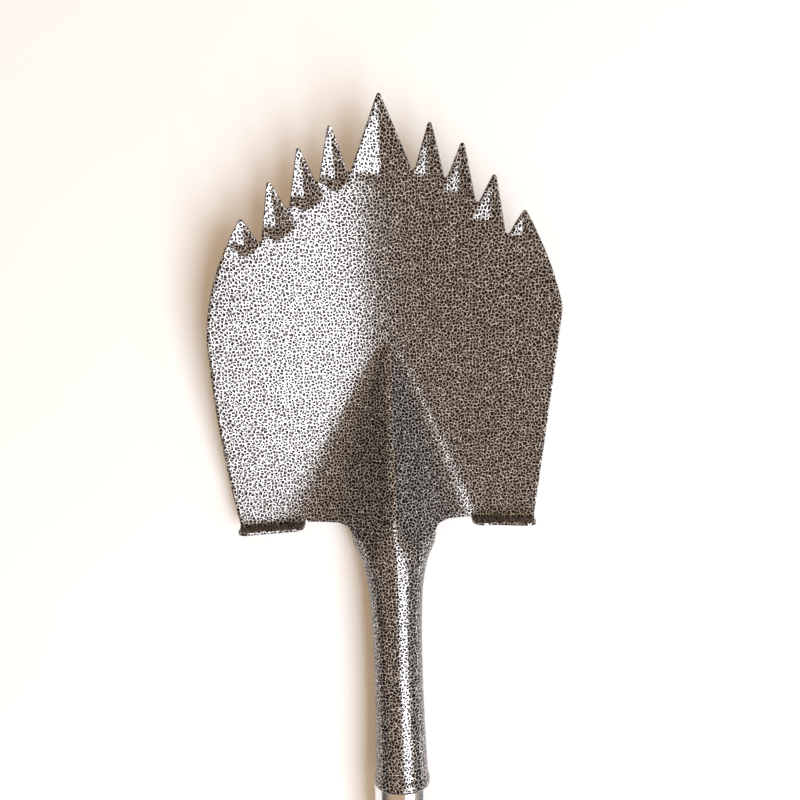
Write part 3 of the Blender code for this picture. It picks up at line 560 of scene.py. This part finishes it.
def add_grid(bm, rows):
    """Add a strip of faces through rows of points of equal length."""
    grid = [[bm.verts.new(point) for point in row] for row in rows]
    for lower, upper in zip(grid, grid[1:]):
        for i in range(len(lower) - 1):
            bm.faces.new((lower[i], upper[i], upper[i + 1], lower[i + 1]))


def add_step(bm, side):
    """Turn one step up from the heel line, with rounded free corners."""
    foot_height = step_foot_height(side)
    inner, outer = SIDES[side]["step"]
    width = outer - inner
    slope = (float(blade_height(side * outer, STEP_BEND_RADIUS)) - foot_height) / width
    straight = STEP_HEIGHT - STEP_BEND_RADIUS
    corner_start = straight - STEP_CORNER_RADIUS
    heights = list(np.linspace(0.0, corner_start, STEP_FLAT_ROWS + 1)[1:])
    for angle in np.linspace(0.0, 0.5 * math.pi, STEP_CORNER_ROWS + 1)[1:]:
        heights.append(corner_start + STEP_CORNER_RADIUS * math.sin(angle))
    rows = []
    for angle in np.linspace(1.5 * math.pi, math.pi + STEP_LEAN, STEP_BEND_ROWS):
        row = []
        for x in step_columns(side):
            v = step_edge(x, side)
            z = float(blade_height(side * x, v)) + STEP_BEND_RADIUS * (1.0 + math.sin(angle))
            row.append((side * x, v + HEEL_Y + STEP_BEND_RADIUS * math.cos(angle), z))
        rows.append(row)
    feet = rows[-1]
    for height in heights:
        over = max(height - corner_start, 0.0)
        inset = STEP_CORNER_RADIUS - math.sqrt(max(STEP_CORNER_RADIUS ** 2 - over ** 2, 0.0))
        row = []
        for foot, x in zip(feet, step_columns(side)):
            squeezed = inner + inset + (x - inner) * (width - 2.0 * inset) / width
            z = foot[2] + height * math.cos(STEP_LEAN) + slope * (squeezed - x)
            v = -(z - foot_height) * math.tan(STEP_LEAN)
            row.append((side * squeezed, v + HEEL_Y, z))
        rows.append(row)
    if side > 0:
        rows = [list(reversed(row)) for row in rows]
    add_grid(bm, rows)


def station_values(v):
    """Smoothly interpolated socket section at v."""
    stations = SOCKET_STATIONS
    last = len(stations) - 1
    i = 0
    while i < last - 1 and v < stations[i + 1][0]:
        i += 1
    before, start, end, after = (stations[max(i - 1, 0)], stations[i], stations[i + 1],
                                 stations[min(i + 2, last)])
    span = end[0] - start[0]
    t = (v - start[0]) / span
    ease = 3.0 * t ** 2 - 2.0 * t ** 3
    values = []
    for k in range(1, len(start)):
        start_slope = (end[k] - before[k]) / (end[0] - before[0]) * span
        end_slope = (after[k] - start[k]) / (after[0] - start[0]) * span
        level = (1.0 - ease) * start[k] + ease * end[k]
        values.append(level + t * (1.0 - t) ** 2 * start_slope - t ** 2 * (1.0 - t) * end_slope)
    return values


def neck_edge(v):
    """Half width of the neck's free edge, with the fillet into the heel line."""
    down = min(-v / NECK_FILLET, 1.0)
    return NECK_EDGE + (NECK_CORNER - NECK_EDGE) * (1.0 - math.sqrt(1.0 - (1.0 - down) ** 2))


def socket_point(share, v):
    """Point of the neck or socket, share running from -1 to 1 around the wrapped sheet."""
    half_width, half_height, wrap, frog_share = station_values(v)
    angle = share * math.radians(wrap)
    rolled = Vector((half_width * math.sin(angle), half_height * (math.cos(angle) - 1.0)))
    x = share * neck_edge(v)
    frog_z = blade_floor(0.0) + float(dish_rise(x, 0.0) + frog_rise(x, 0.0))
    crest = CREST_HEIGHT if v > SOCKET_ROUND_START else half_height
    mixed_x = frog_share * x + (1.0 - frog_share) * rolled.x
    mixed_z = crest + frog_share * (frog_z - CREST_HEIGHT) + (1.0 - frog_share) * rolled.y
    return Vector((mixed_x, v + HEEL_Y, mixed_z + AXIS_HEIGHT))


def add_socket(bm):
    """Wrap the neck round into the tubular socket, open along a seam at its back."""
    rows = [0.0]
    for end, count in SOCKET_RUNS:
        rows += list(np.linspace(rows[-1], end, count + 1)[1:])
    add_grid(bm, [[socket_point(share, v) for share in socket_shares()] for v in rows])


def digging_head(material, cutters):
    """The pressed head: one sheet of even thickness with softened cut edges."""
    bm = bmesh.new()
    add_blade(bm)
    add_step(bm, -1)
    add_step(bm, 1)
    add_socket(bm)
    bmesh.ops.remove_doubles(bm, verts=bm.verts[:], dist=JOIN_DISTANCE)
    bmesh.ops.recalc_face_normals(bm, faces=bm.faces[:])
    up = sum(face.normal.z * face.calc_area() for face in bm.faces)
    if up < 0.0:
        bmesh.ops.reverse_faces(bm, faces=bm.faces[:])
    obj = add_piece("head_sheet", bm, material, "digging_head")
    sheet = obj.modifiers.new("sheet", "SOLIDIFY")
    sheet.thickness = SHEET
    sheet.offset = -1.0
    sheet.use_even_offset = True
    sheet.use_quality_normals = True
    rim = obj.modifiers.new("rim", "BEVEL")
    rim.width = RIM_ROUND
    rim.segments = 2
    rim.limit_method = "ANGLE"
    rim.angle_limit = math.radians(60.0)
    rim.use_clamp_overlap = False
    for cutter in cutters:
        add_cut(obj, cutter)
    apply_modifiers(obj, 50.0)


# ---------------- shaft and its small parts

def along_shaft():
    """Matrix that lays a turned part along the shaft, local +Z towards the blade."""
    return Matrix.Translation((0.0, 0.0, AXIS_HEIGHT)) @ Matrix.Rotation(math.radians(-90.0), 4, "X")


def across_handle(side=1):
    """Matrix that lays a turned part along the crossbar, local +Z outwards."""
    place = Matrix.Translation((0.0, CROSSBAR_Y, AXIS_HEIGHT))
    return place @ Matrix.Rotation(math.radians(90.0 * side), 4, "Y")


def shaft_tube(material, cutters):
    """Tube with a swaged nose that fills the socket."""
    shoulder = HEEL_Y + SOCKET_LIP - GAP
    nose_end = HEEL_Y + NOSE_END
    taper_end = HEEL_Y + NOSE_TAPER_END
    low = SHAFT_LOW.y
    inner = SHAFT_RADIUS - SHAFT_WALL
    nose_round = 0.4 * MM
    mouth_slope = 0.5 * MM
    corners = [(NOSE_RADIUS, nose_end, nose_round), (NOSE_RADIUS, taper_end, 0.0),
               (NOSE_MOUTH_RADIUS, shoulder, 0.0), (SHAFT_RADIUS, shoulder, SHOULDER_ROUND),
               (SHAFT_RADIUS, low, TUBE_EDGE), (inner, low, TUBE_EDGE),
               (inner, shoulder - SHOULDER_BLEND, 0.0),
               (NOSE_MOUTH_RADIUS - SHAFT_WALL, shoulder - mouth_slope, 0.0),
               (NOSE_RADIUS - SHAFT_WALL, taper_end, 0.0), (NOSE_RADIUS - SHAFT_WALL, nose_end, 0.0)]
    bm = lathe(rounded_profile(corners), along_shaft())
    obj = add_piece("shaft", bm, material, "shaft_tube")
    for cutter in cutters:
        add_cut(obj, cutter)
    apply_modifiers(obj, 30.0)


def shaft_end_plug(material):
    """Plug in the swaged end, with a moulded dimple, seen in the open back of the neck."""
    under = HEEL_Y + NOSE_END + GAP
    top = under + PLUG_HEAD
    end = under - PLUG_STEM
    rim = NOSE_RADIUS - GAP
    stem = NOSE_RADIUS - SHAFT_WALL - GAP
    floor_radius, edge_radius = PLUG_DIMPLE_RADII
    soft = 0.4 * MM
    corners = [(0.0, top - PLUG_DIMPLE, 0.0), (floor_radius, top - PLUG_DIMPLE, soft),
               (edge_radius, top, soft), (rim, top, 1.0 * MM), (rim, under, 0.0),
               (stem, under, 0.0), (stem - PLUG_STEM_TAPER, end, 0.8 * MM), (0.0, end, 0.0)]
    bm = lathe(rounded_profile(corners), along_shaft(), PLUG_SIDES)
    return add_piece("neck_plug", bm, material, "shaft_end_plug")


def shaft_top_cap(material):
    """Domed plug in the hand end of the shaft, with a ring groove round its face."""
    stem = SHAFT_RADIUS - SHAFT_WALL - GAP
    rim = TOOL_LOW + CAP_HEAD
    end = rim + TOP_CAP_STEM
    corners = [(0.0, end, 0.0), (stem, end, 1.0 * MM), (stem, rim, 0.0),
               (SHAFT_RADIUS, rim, 0.2 * MM), (SHAFT_RADIUS, TOOL_LOW, TOP_CAP_DOME)]
    corners += face_rings(TOOL_LOW, 1.0)
    bm = lathe(rounded_profile(corners), along_shaft())
    return add_piece("shaft_cap", bm, material, "shaft_top_cap")


def face_rings(face, inward):
    """Corners of a cap's flat face with a moulded ring groove and a centre dimple."""
    deep = face + inward * CAP_RELIEF
    soft = 0.2 * MM
    levels = (face, deep, deep, face, face, deep)
    corners = [(radius, level, soft) for radius, level in zip(CAP_RING + CAP_DIMPLE, levels)]
    return corners + [(0.0, deep, 0.0)]


def rivet_matrix(side, v):
    """Matrix at the socket's outer face with local +Z pointing outwards."""
    radius = station_values(v)[0]
    angle = side * RIVET_ANGLE
    outward = Vector((math.sin(angle), 0.0, math.cos(angle)))
    place = Vector((0.0, v + HEEL_Y, AXIS_HEIGHT)) + outward * radius
    return Matrix.Translation(place) @ outward.to_track_quat("Z", "Y").to_matrix().to_4x4()


def rivet_depth(v):
    """Distance from the socket's outer face to the shaft's inner face."""
    taper = min(max((v - NOSE_TAPER_END) / (SOCKET_LIP - NOSE_TAPER_END), 0.0), 1.0)
    nose = NOSE_RADIUS + (NOSE_MOUTH_RADIUS - NOSE_RADIUS) * taper
    return station_values(v)[0] - nose + SHAFT_WALL


def blind_rivet(label, side, v, material):
    """Blind rivet: domed head with a rolled rim, shank and set bulb, with its bore."""
    bore = MANDREL_RADIUS + GAP
    top = RIVET_HEAD_HEIGHT + GAP
    shank_end = -rivet_depth(v) - 2.0 * GAP
    end = shank_end - RIVET_BULB_LENGTH
    tuck = 0.1 * MM
    rim = 0.35 * MM
    bulb_round = 0.3 * MM
    corners = [(bore, top - tuck, 0.0)]
    corners += [(radius, top - depth, rounding) for radius, depth, rounding in RIVET_DOME]
    corners += [(RIVET_HEAD_RADIUS, GAP + rim, 0.2 * MM), (RIVET_HEAD_RADIUS - tuck, GAP, tuck),
                (RIVET_RADIUS, GAP, 0.0), (RIVET_RADIUS, shank_end, 0.0),
                (RIVET_BULB_RADIUS, shank_end - RIVET_BULB_SLOPE, bulb_round),
                (RIVET_BULB_RADIUS, end + RIVET_BULB_SLOPE, bulb_round), (bore, end, 0.2 * MM)]
    bm = lathe(rounded_profile(corners), rivet_matrix(side, v), RIVET_SIDES)
    return add_piece("rivet_" + label, bm, material, "socket_rivet_" + label)


def rivet_mandrel(label, side, v, material):
    """The stub of the rivet's pulling pin, necked and broken off inside the head."""
    top = RIVET_HEAD_HEIGHT - MANDREL_INSET
    bulb_end = -rivet_depth(v) - 2.0 * GAP - RIVET_BULB_LENGTH
    end = bulb_end - MANDREL_HEAD_LENGTH
    dome = 0.3 * MM
    corners = [(radius, top - depth, rounding) for radius, depth, rounding in MANDREL_BREAK]
    corners += [(MANDREL_RADIUS, bulb_end - GAP, 0.0),
                (MANDREL_HEAD_RADIUS, bulb_end - GAP, 0.15 * MM),
                (MANDREL_HEAD_RADIUS - dome, end, 0.4 * MM), (0.0, end - dome, 0.0)]
    bm = lathe(rounded_profile(corners, 3), rivet_matrix(side, v), MANDREL_SIDES)
    return add_piece("pin_" + label, bm, material, "rivet_mandrel_" + label)


def round_cutter(radius, top, bottom, matrix, sides=ROUND):
    """Round cutter from top to bottom, removed again once the cuts are made."""
    profile = [(0.0, top), (radius, top), (radius, bottom), (0.0, bottom)]
    bm = lathe(profile, matrix, sides)
    mesh = bpy.data.meshes.new("cutter")
    bm.to_mesh(mesh)
    bm.free()
    obj = bpy.data.objects.new("cutter", mesh)
    bpy.context.scene.collection.objects.link(obj)
    obj.hide_render = True
    return obj


def rivet_hole(side, v):
    """Cutter for the hole of one rivet through socket and shaft."""
    bottom = -rivet_depth(v) - CUTTER_REACH
    return round_cutter(RIVET_RADIUS + GAP, CUTTER_REACH, bottom, rivet_matrix(side, v), RIVET_SIDES)


def crossbar_hole():
    """Cutter for the cross hole in the shaft."""
    reach = SHAFT_RADIUS + CUTTER_REACH
    return round_cutter(CROSSBAR_RADIUS + GAP, reach, -reach, across_handle())


# ---------------- T-handle

def crossbar_tube(material):
    """Cross tube that passes through the top of the shaft."""
    half = BAR_HIGH.x
    inner = CROSSBAR_RADIUS - CROSSBAR_WALL
    corners = [(CROSSBAR_RADIUS, half, TUBE_EDGE), (CROSSBAR_RADIUS, -half, TUBE_EDGE),
               (inner, -half, TUBE_EDGE), (inner, half, TUBE_EDGE)]
    bm = lathe(rounded_profile(corners), across_handle())
    return add_piece("crossbar", bm, material, "crossbar_tube")


def saddle_point(radial, distance, shaft):
    """Point on the shaft's surface at a distance from the crossbar's axis."""
    across = radial * distance
    return Vector((math.sqrt(max(shaft ** 2 - across.z ** 2, 0.0)), across.y, across.z))


def crossbar_weld(word, side, material):
    """Rippled weld bead in the corner between crossbar and shaft."""
    segments = 360
    profile_steps = 10
    bar = CROSSBAR_RADIUS + GAP
    shaft = SHAFT_RADIUS + GAP
    bar_leg = 0.92 * WELD_LEG
    shaft_leg = 0.74 * WELD_LEG
    crown = 0.19 * WELD_LEG
    ripple_height = 0.08 * WELD_LEG
    sway = 0.25 * MM
    bm = bmesh.new()
    rings = []
    for i in range(segments):
        turn = i / segments
        angle = 2.0 * math.pi * turn
        radial = Vector((0.0, math.cos(angle), math.sin(angle)))
        near = saddle_point(radial, bar, shaft)
        wander = sway * math.sin(5.0 * angle + 1.3 * side)
        on_bar = near + Vector((bar_leg + wander, 0.0, 0.0))
        on_shaft = saddle_point(radial, bar + shaft_leg + wander, shaft)
        ripple = abs(math.sin(math.pi * WELD_RIPPLES * turn))
        swell = crown + ripple_height * ripple
        outward = (Vector((1.0, 0.0, 0.0)) + radial).normalized()
        points = [near]
        for k in range(profile_steps + 1):
            t = k / profile_steps
            points.append(on_bar.lerp(on_shaft, t) + outward * swell * math.sin(math.pi * t))
        rings.append([bm.verts.new((side * p.x, p.y, p.z)) for p in points])
    for ring, following in zip(rings, rings[1:] + rings[:1]):
        for k in range(len(ring)):
            j = (k + 1) % len(ring)
            bm.faces.new((ring[k], ring[j], following[j], following[k]))
    bmesh.ops.recalc_face_normals(bm, faces=bm.faces[:])
    bmesh.ops.translate(bm, verts=bm.verts[:], vec=(0.0, CROSSBAR_Y, AXIS_HEIGHT))
    return add_piece("weld_" + word, bm, material, "crossbar_weld_" + word, 60.0)


def grip(word, side, material):
    """Rubber sleeve: bands of fine ribs between smooth collars."""
    outer = AXIS_HEIGHT - 0.05 * MM
    inner = CROSSBAR_RADIUS + GAP
    start = GRIP_LOW.x
    end = GRIP_HIGH.x
    pitch = (end - start - GRIP_COLLAR) / GRIP_BANDS
    rib_pitch = (pitch - GRIP_COLLAR) / GRIP_RIBS
    rim_round = 1.6 * MM
    bore_round = 0.4 * MM
    crown_round = 0.3 * MM
    floor_round = 0.25 * MM
    corners = [(outer, end, rim_round)]
    for band in range(GRIP_BANDS):
        top = end - GRIP_COLLAR - band * pitch
        for rib in range(GRIP_RIBS):
            high = top - rib * rib_pitch
            low = high - rib_pitch
            middle = abs(2.0 * (rib + 0.5) / GRIP_RIBS - 1.0)
            floor = outer - GRIP_GROOVE + 0.5 * MM * middle ** 2
            crown = outer - 0.45 * MM * (1.0 - middle ** 2)
            corners += [(crown, high, crown_round), (floor, high - 0.28 * rib_pitch, floor_round),
                        (floor, high - 0.5 * rib_pitch, floor_round),
                        (crown, low + 0.22 * rib_pitch, crown_round)]
    corners += [(outer, start, rim_round), (inner, start, bore_round), (inner, end, bore_round)]
    bm = lathe(rounded_profile(corners, 3), across_handle(side), GRIP_SIDES)
    return add_piece("grip_sleeve_" + word, bm, material, "grip_" + word)


def grip_end_cap(word, side, material):
    """Mushroom cap pushed into the end of the crossbar."""
    top = max(abs(corner.x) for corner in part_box("end_cap_" + word))
    under = top - CAP_HEAD
    end = under - CAP_PLUG_DEPTH
    head = AXIS_HEIGHT - CAP_INSET
    stem = CROSSBAR_RADIUS - CROSSBAR_WALL - GAP
    corners = list(reversed(face_rings(top, -1.0)))
    corners += [(head, top, 2.0 * MM), (head, under, 0.3 * MM), (stem, under, 0.0),
                (stem - CAP_PLUG_TAPER, end, 0.8 * MM), (0.0, end, 0.0)]
    bm = lathe(rounded_profile(corners), across_handle(side))
    return add_piece("grip_cap_" + word, bm, material, "end_cap_" + word)


# ---------------- materials

class Graph:
    """A material with a Principled shader, and short calls that add linked nodes to it."""

    def __init__(self, name):
        self.material = bpy.data.materials.new(name)
        self.material.use_nodes = True
        self.tree = self.material.node_tree
        self.shader = self.tree.nodes["Principled BSDF"]
        source = self.tree.nodes.new("ShaderNodeTexCoord")
        self.coordinates = source.outputs["Object"]
        self.normal = source.outputs["Normal"]

    @classmethod
    def of_world(cls, name):
        """Graph of a new world, empty and in use."""
        graph = cls.__new__(cls)
        world = bpy.data.worlds.new(name)
        bpy.context.scene.world = world
        world.use_nodes = True
        graph.tree = world.node_tree
        graph.tree.nodes.clear()
        return graph

    def node(self, kind, inputs=(), **settings):
        """Add a node; inputs maps a socket's name or number to a value or an output."""
        node = self.tree.nodes.new("ShaderNode" + kind)
        for key, value in settings.items():
            setattr(node, key, value)
        for key, value in dict(inputs).items():
            self.plug(node.inputs[key], value)
        return node

    def plug(self, socket, value):
        """Link an output to a socket, or set the socket to a value."""
        if isinstance(value, bpy.types.NodeSocket):
            self.tree.links.new(value, socket)
        else:
            socket.default_value = value

    def set(self, **inputs):
        """Set sockets of the shader, with _ for a space in the name."""
        for key, value in inputs.items():
            self.plug(self.shader.inputs[key.replace("_", " ")], value)

    def stretched(self, scale):
        """Object coordinates scaled per axis."""
        return self.node("Mapping", {"Vector": self.coordinates, "Scale": scale}).outputs[0]

    def faced(self):
        """Object coordinates turned so that X and Y lie along the surface.

        Faces that look mostly up or down keep X and Y, and Z takes the place of X on faces
        that look to a side and of Y on faces that look along the shaft.
        """
        x, y, z = self.node("SeparateXYZ", {0: self.coordinates}).outputs
        normal = self.node("SeparateXYZ", {0: self.normal}).outputs
        faces_x, faces_y, faces_z = [self.math("ABSOLUTE", part) for part in normal]
        faces_z = self.math("MULTIPLY", faces_z, 1.2)
        on_end = self.math("GREATER_THAN", faces_y, self.math("MAXIMUM", faces_x, faces_z))
        on_side = self.math("GREATER_THAN", faces_x, self.math("MAXIMUM", faces_y, faces_z))
        return self.node("CombineXYZ", {0: self.blend(on_side, x, z),
                                        1: self.blend(on_end, y, z)}).outputs[0]

    def blend(self, factor, first, second):
        """Value that goes from first to second as the factor goes from 0 to 1."""
        change = self.math("MULTIPLY", factor, self.math("SUBTRACT", second, first))
        return self.math("ADD", first, change)

    def noise(self, scale, detail=2.0, roughness=0.5, vector=None, output=0):
        """Noise value from 0 to 1, or its colour where output is "Color"."""
        inputs = {"Vector": vector or self.coordinates, "Scale": scale, "Detail": detail,
                  "Roughness": roughness}
        return self.node("TexNoise", inputs).outputs[output]

    def math(self, operation, first, second=0.0):
        """Math node's value."""
        return self.node("Math", {0: first, 1: second}, operation=operation).outputs[0]

    def span(self, value, low, high, to_low=0.0, to_high=1.0, smooth_ends=False):
        """Map a value from low..high to to_low..to_high, clamped."""
        kind = "SMOOTHSTEP" if smooth_ends else "LINEAR"
        inputs = {"Value": value, "From Min": low, "From Max": high,
                  "To Min": to_low, "To Max": to_high}
        return self.node("MapRange", inputs, interpolation_type=kind).outputs[0]

    def mix(self, factor, first, second, blend="MIX"):
        """Mix two colours."""
        node = self.node("Mix", data_type="RGBA", blend_type=blend)
        self.plug(node.inputs["Factor"], factor)
        for socket, value in zip([s for s in node.inputs if s.type == "RGBA"], (first, second)):
            self.plug(socket, value if isinstance(value, bpy.types.NodeSocket) else (*value, 1.0))
        return [s for s in node.outputs if s.type == "RGBA"][0]

    def vector(self, operation, inputs):
        """Vector math node's vector."""
        return self.node("VectorMath", inputs, operation=operation).outputs[0]

    def bump(self, height, distance):
        """Normal from a height in units of distance."""
        return self.node("Bump", {"Height": height, "Distance": distance}).outputs[0]


def hammertone_paint():
    """Gloss hammertone: black pits, flaked silver round them and bright veins between them."""
    g = Graph("hammertone paint")
    wander = g.noise(0.9 / PAINT_CELL, 1.0, output="Color")
    shift = g.vector("SUBTRACT", {0: wander, 1: (0.5, 0.5, 0.5)})
    shift = g.vector("SCALE", {0: shift, "Scale": PAINT_CELL})
    place = g.vector("ADD", {0: g.faced(), 1: shift})
    cells = {"Vector": place, "Scale": 1.0 / PAINT_CELL, "Randomness": 0.9}
    pits = g.node("TexVoronoi", cells, voronoi_dimensions="2D").outputs["Distance"]
    edges = g.node("TexVoronoi", cells, voronoi_dimensions="2D", feature="DISTANCE_TO_EDGE")
    swirl = g.math("SUBTRACT", g.noise(1.4 / PAINT_CELL, 1.0), 0.5)
    edges = g.math("ADD", edges.outputs["Distance"], g.math("MULTIPLY", swirl, 0.25))
    # Flakes are wholly metal, veins half metal and half pale paint
    flakes = g.span(pits, 0.32, 0.55, 0.0, 0.12)
    veins = g.span(edges, 0.09, 0.0, 0.003, 0.94)
    total = g.math("ADD", flakes, veins)
    metal = g.math("ADD", flakes, g.math("MULTIPLY", veins, 0.5))
    silver = g.mix(g.noise(60.0), (0.90, 0.87, 0.84), (1.0, 0.98, 0.96))
    silver = g.mix(0.15, silver, g.noise(110.0, output="Color"), "OVERLAY")
    g.set(Base_Color=g.mix(total, (0.012, 0.005, 0.003), silver),
          Metallic=g.math("DIVIDE", metal, total),
          Roughness=g.span(pits, 0.1, 0.5, 0.16, 0.25), Specular_IOR_Level=0.12,
          Coat_Weight=0.08, Coat_Roughness=0.10, Coat_IOR=1.5)
    relief = g.bump(g.span(pits, 0.0, 0.6, smooth_ends=True), 0.06 * MM)
    g.set(Normal=relief, Coat_Normal=relief)
    return g.material


def polished_steel():
    """Mirror polished tube with faint drawing lines along its length."""
    g = Graph("polished steel")
    lines = g.noise(1.0, 3.0, 0.6, g.stretched((1400.0, 14.0, 1400.0)))
    smear = g.noise(22.0, 3.0)
    drawn = g.span(lines, 0.3, 0.7, 0.04, 0.16)
    smeared = g.span(smear, 0.4, 0.8, 0.0, 0.08)
    g.set(Base_Color=g.mix(smear, (0.72, 0.72, 0.73), (0.86, 0.86, 0.86)), Metallic=1.0,
          Roughness=g.math("ADD", drawn, smeared), Normal=g.bump(lines, 0.01 * MM))
    return g.material


def weld_metal():
    """Bare weld with straw and blue heat colours."""
    g = Graph("weld metal")
    heat = g.noise(140.0)
    grain = g.noise(2400.0, 3.0)
    hot = g.mix(g.span(heat, 0.42, 0.60), (0.42, 0.39, 0.36), (0.56, 0.42, 0.24))
    hot = g.mix(g.span(heat, 0.62, 0.72), hot, (0.22, 0.26, 0.42))
    g.set(Base_Color=hot, Metallic=1.0, Roughness=g.span(grain, 0.3, 0.7, 0.25, 0.5),
          Normal=g.bump(grain, 0.05 * MM))
    return g.material


def rivet_metal():
    """Bright aluminium with fine turning marks and small dents."""
    g = Graph("rivet metal")
    grain = g.noise(3000.0, 3.0)
    dents = g.noise(700.0, 1.0)
    g.set(Base_Color=g.mix(dents, (0.52, 0.52, 0.53), (0.70, 0.70, 0.71)), Metallic=1.0,
          Roughness=g.span(grain, 0.3, 0.7, 0.22, 0.42), Normal=g.bump(dents, 0.04 * MM))
    return g.material


def mandrel_steel():
    """Dark torn steel of the rivet pins."""
    g = Graph("pin steel")
    grain = g.noise(2600.0, 4.0, 0.65)
    g.set(Base_Color=g.mix(grain, (0.16, 0.15, 0.14), (0.42, 0.40, 0.38)), Metallic=1.0,
          Roughness=g.span(grain, 0.3, 0.7, 0.3, 0.6), Normal=g.bump(grain, 0.06 * MM))
    return g.material


def grip_rubber():
    """Matt moulded rubber with a fine grain and a breath of dust on it."""
    g = Graph("grip rubber")
    grain = g.noise(2600.0)
    dust = g.span(g.noise(45.0, 4.0), 0.45, 0.75, 0.0, 0.35)
    g.set(Base_Color=g.mix(dust, (0.018, 0.018, 0.019), (0.060, 0.057, 0.052)),
          Roughness=g.span(grain, 0.3, 0.7, 0.55, 0.75), Specular_IOR_Level=0.4,
          Normal=g.bump(grain, 0.05 * MM))
    return g.material


def cap_plastic():
    """Satin moulded plastic with spark-eroded grain."""
    g = Graph("cap plastic")
    grain = g.noise(1900.0, 2.0, 0.6)
    shade = g.noise(30.0, 3.0)
    g.set(Base_Color=g.mix(shade, (0.022, 0.022, 0.024), (0.042, 0.042, 0.045)),
          Roughness=g.span(grain, 0.3, 0.7, 0.38, 0.55), Normal=g.bump(grain, 0.03 * MM))
    return g.material


# ---------------- stage

def floor_material():
    """Pale paper with hardly visible mottling and a painted glow: warm by the tool, where it
    lightens and warms the shadows, and cool and brighter far off.
    """
    g = Graph("pale floor")
    mottle = g.noise(9.0, 3.0)
    distance = g.node("VectorMath", {0: g.coordinates}, operation="LENGTH").outputs["Value"]
    # Painted light: the floor glows. Near the tool the glow is faint and warm, which lifts and warms
    # the shadows. Far off it is cool and brighter, which lightens the distant floor.
    far = g.span(distance, 0.9, 3.5, smooth_ends=True)
    g.set(Base_Color=g.mix(mottle, (0.91, 0.94, 0.96), (0.94, 0.97, 0.98)), Roughness=0.9,
          Specular_IOR_Level=0.1, Emission_Strength=1.0,
          Emission_Color=g.mix(far, (0.09, 0.05, 0.02), (0.34, 0.50, 0.62)))
    return g.material


def make_floor():
    """Large flat floor under the tool."""
    bm = bmesh.new()
    bmesh.ops.create_grid(bm, x_segments=8, y_segments=8, size=FLOOR_HALF_SIZE)
    mesh = bpy.data.meshes.new("floor")
    bm.to_mesh(mesh)
    bm.free()
    mesh.materials.append(floor_material())
    floor = bpy.data.objects.new("floor", mesh)
    floor.location.z = -0.5 * MM
    bpy.context.scene.collection.objects.link(floor)


def make_key_light():
    """Large soft light that faces the blade, its sides along X and Y."""
    light = bpy.data.lights.new("key", "AREA")
    light.shape = "RECTANGLE"
    light.size, light.size_y = KEY_SIZE
    light.energy = KEY_RADIANCE * math.pi * light.size * light.size_y
    light.color = KEY_COLOUR
    obj = bpy.data.objects.new("key", light)
    away = KEY_DIRECTION.normalized()
    along = Vector((0.0, 1.0, 0.0))
    along = (along - away * along.dot(away)).normalized()
    turn = Matrix((along.cross(away), along, away)).transposed()
    obj.matrix_world = Matrix.Translation(SEEN_CENTRE + away * KEY_DISTANCE) @ turn.to_4x4()
    bpy.context.scene.collection.objects.link(obj)


def make_world():
    """Room light: a warm ceiling over dim walls, the right one lighter and cooler."""
    g = Graph.of_world("room")
    side, _, rise = g.node("SeparateXYZ", {0: g.node("TexCoord").outputs["Generated"]}).outputs
    walls = g.mix(g.span(side, -0.5, 0.7), (0.12, 0.12, 0.12), (0.27, 0.28, 0.29))
    room = g.mix(g.span(rise, 0.15, 0.75, smooth_ends=True), walls, (0.62, 0.45, 0.30))
    lit = g.node("Background", {"Color": room})
    seen = g.node("Background", {"Color": (0.92, 0.92, 0.91, 1.0)})
    camera_ray = g.node("LightPath").outputs["Is Camera Ray"]
    choice = g.node("MixShader", {0: camera_ray, 1: lit.outputs[0], 2: seen.outputs[0]})
    g.node("OutputWorld", {"Surface": choice.outputs[0]})


def make_camera():
    """Camera straight above the head, turned a little."""
    data = bpy.data.cameras.new("camera")
    data.lens = CAMERA_LENS
    data.sensor_width = CAMERA_SENSOR
    camera = bpy.data.objects.new("camera", data)
    camera.location = CAMERA_PLACE
    camera.rotation_euler = (0.0, 0.0, CAMERA_TURN)
    bpy.context.scene.collection.objects.link(camera)
    bpy.context.scene.camera = camera


def make_stage():
    """Floor, light, camera and tone."""
    make_floor()
    make_world()
    make_key_light()
    make_camera()
    bpy.context.scene.view_settings.view_transform = "Standard"


# ---------------- assembly

def build():
    """Build every visible piece of the shovel."""
    hammertone = hammertone_paint()
    polished = polished_steel()
    weld = weld_metal()
    rivet = rivet_metal()
    pin = mandrel_steel()
    rubber = grip_rubber()
    plastic = cap_plastic()
    places = [(station + "_" + word, side, v) for station, v in RIVET_STATIONS.items()
              for side, word in SIDE_WORDS.items()]
    holes = [rivet_hole(side, v) for _, side, v in places]
    cross_hole = crossbar_hole()
    digging_head(hammertone, holes)
    shaft_tube(polished, holes + [cross_hole])
    for cutter in holes + [cross_hole]:
        bpy.data.objects.remove(cutter, do_unlink=True)
    shaft_end_plug(plastic)
    shaft_top_cap(plastic)
    for label, side, v in places:
        blind_rivet(label, side, v, rivet)
        rivet_mandrel(label, side, v, pin)
    crossbar_tube(polished)
    for side, word in SIDE_WORDS.items():
        crossbar_weld(word, side, weld)
        grip(word, side, rubber)
        grip_end_cap(word, side, plastic)


build()
make_stage()
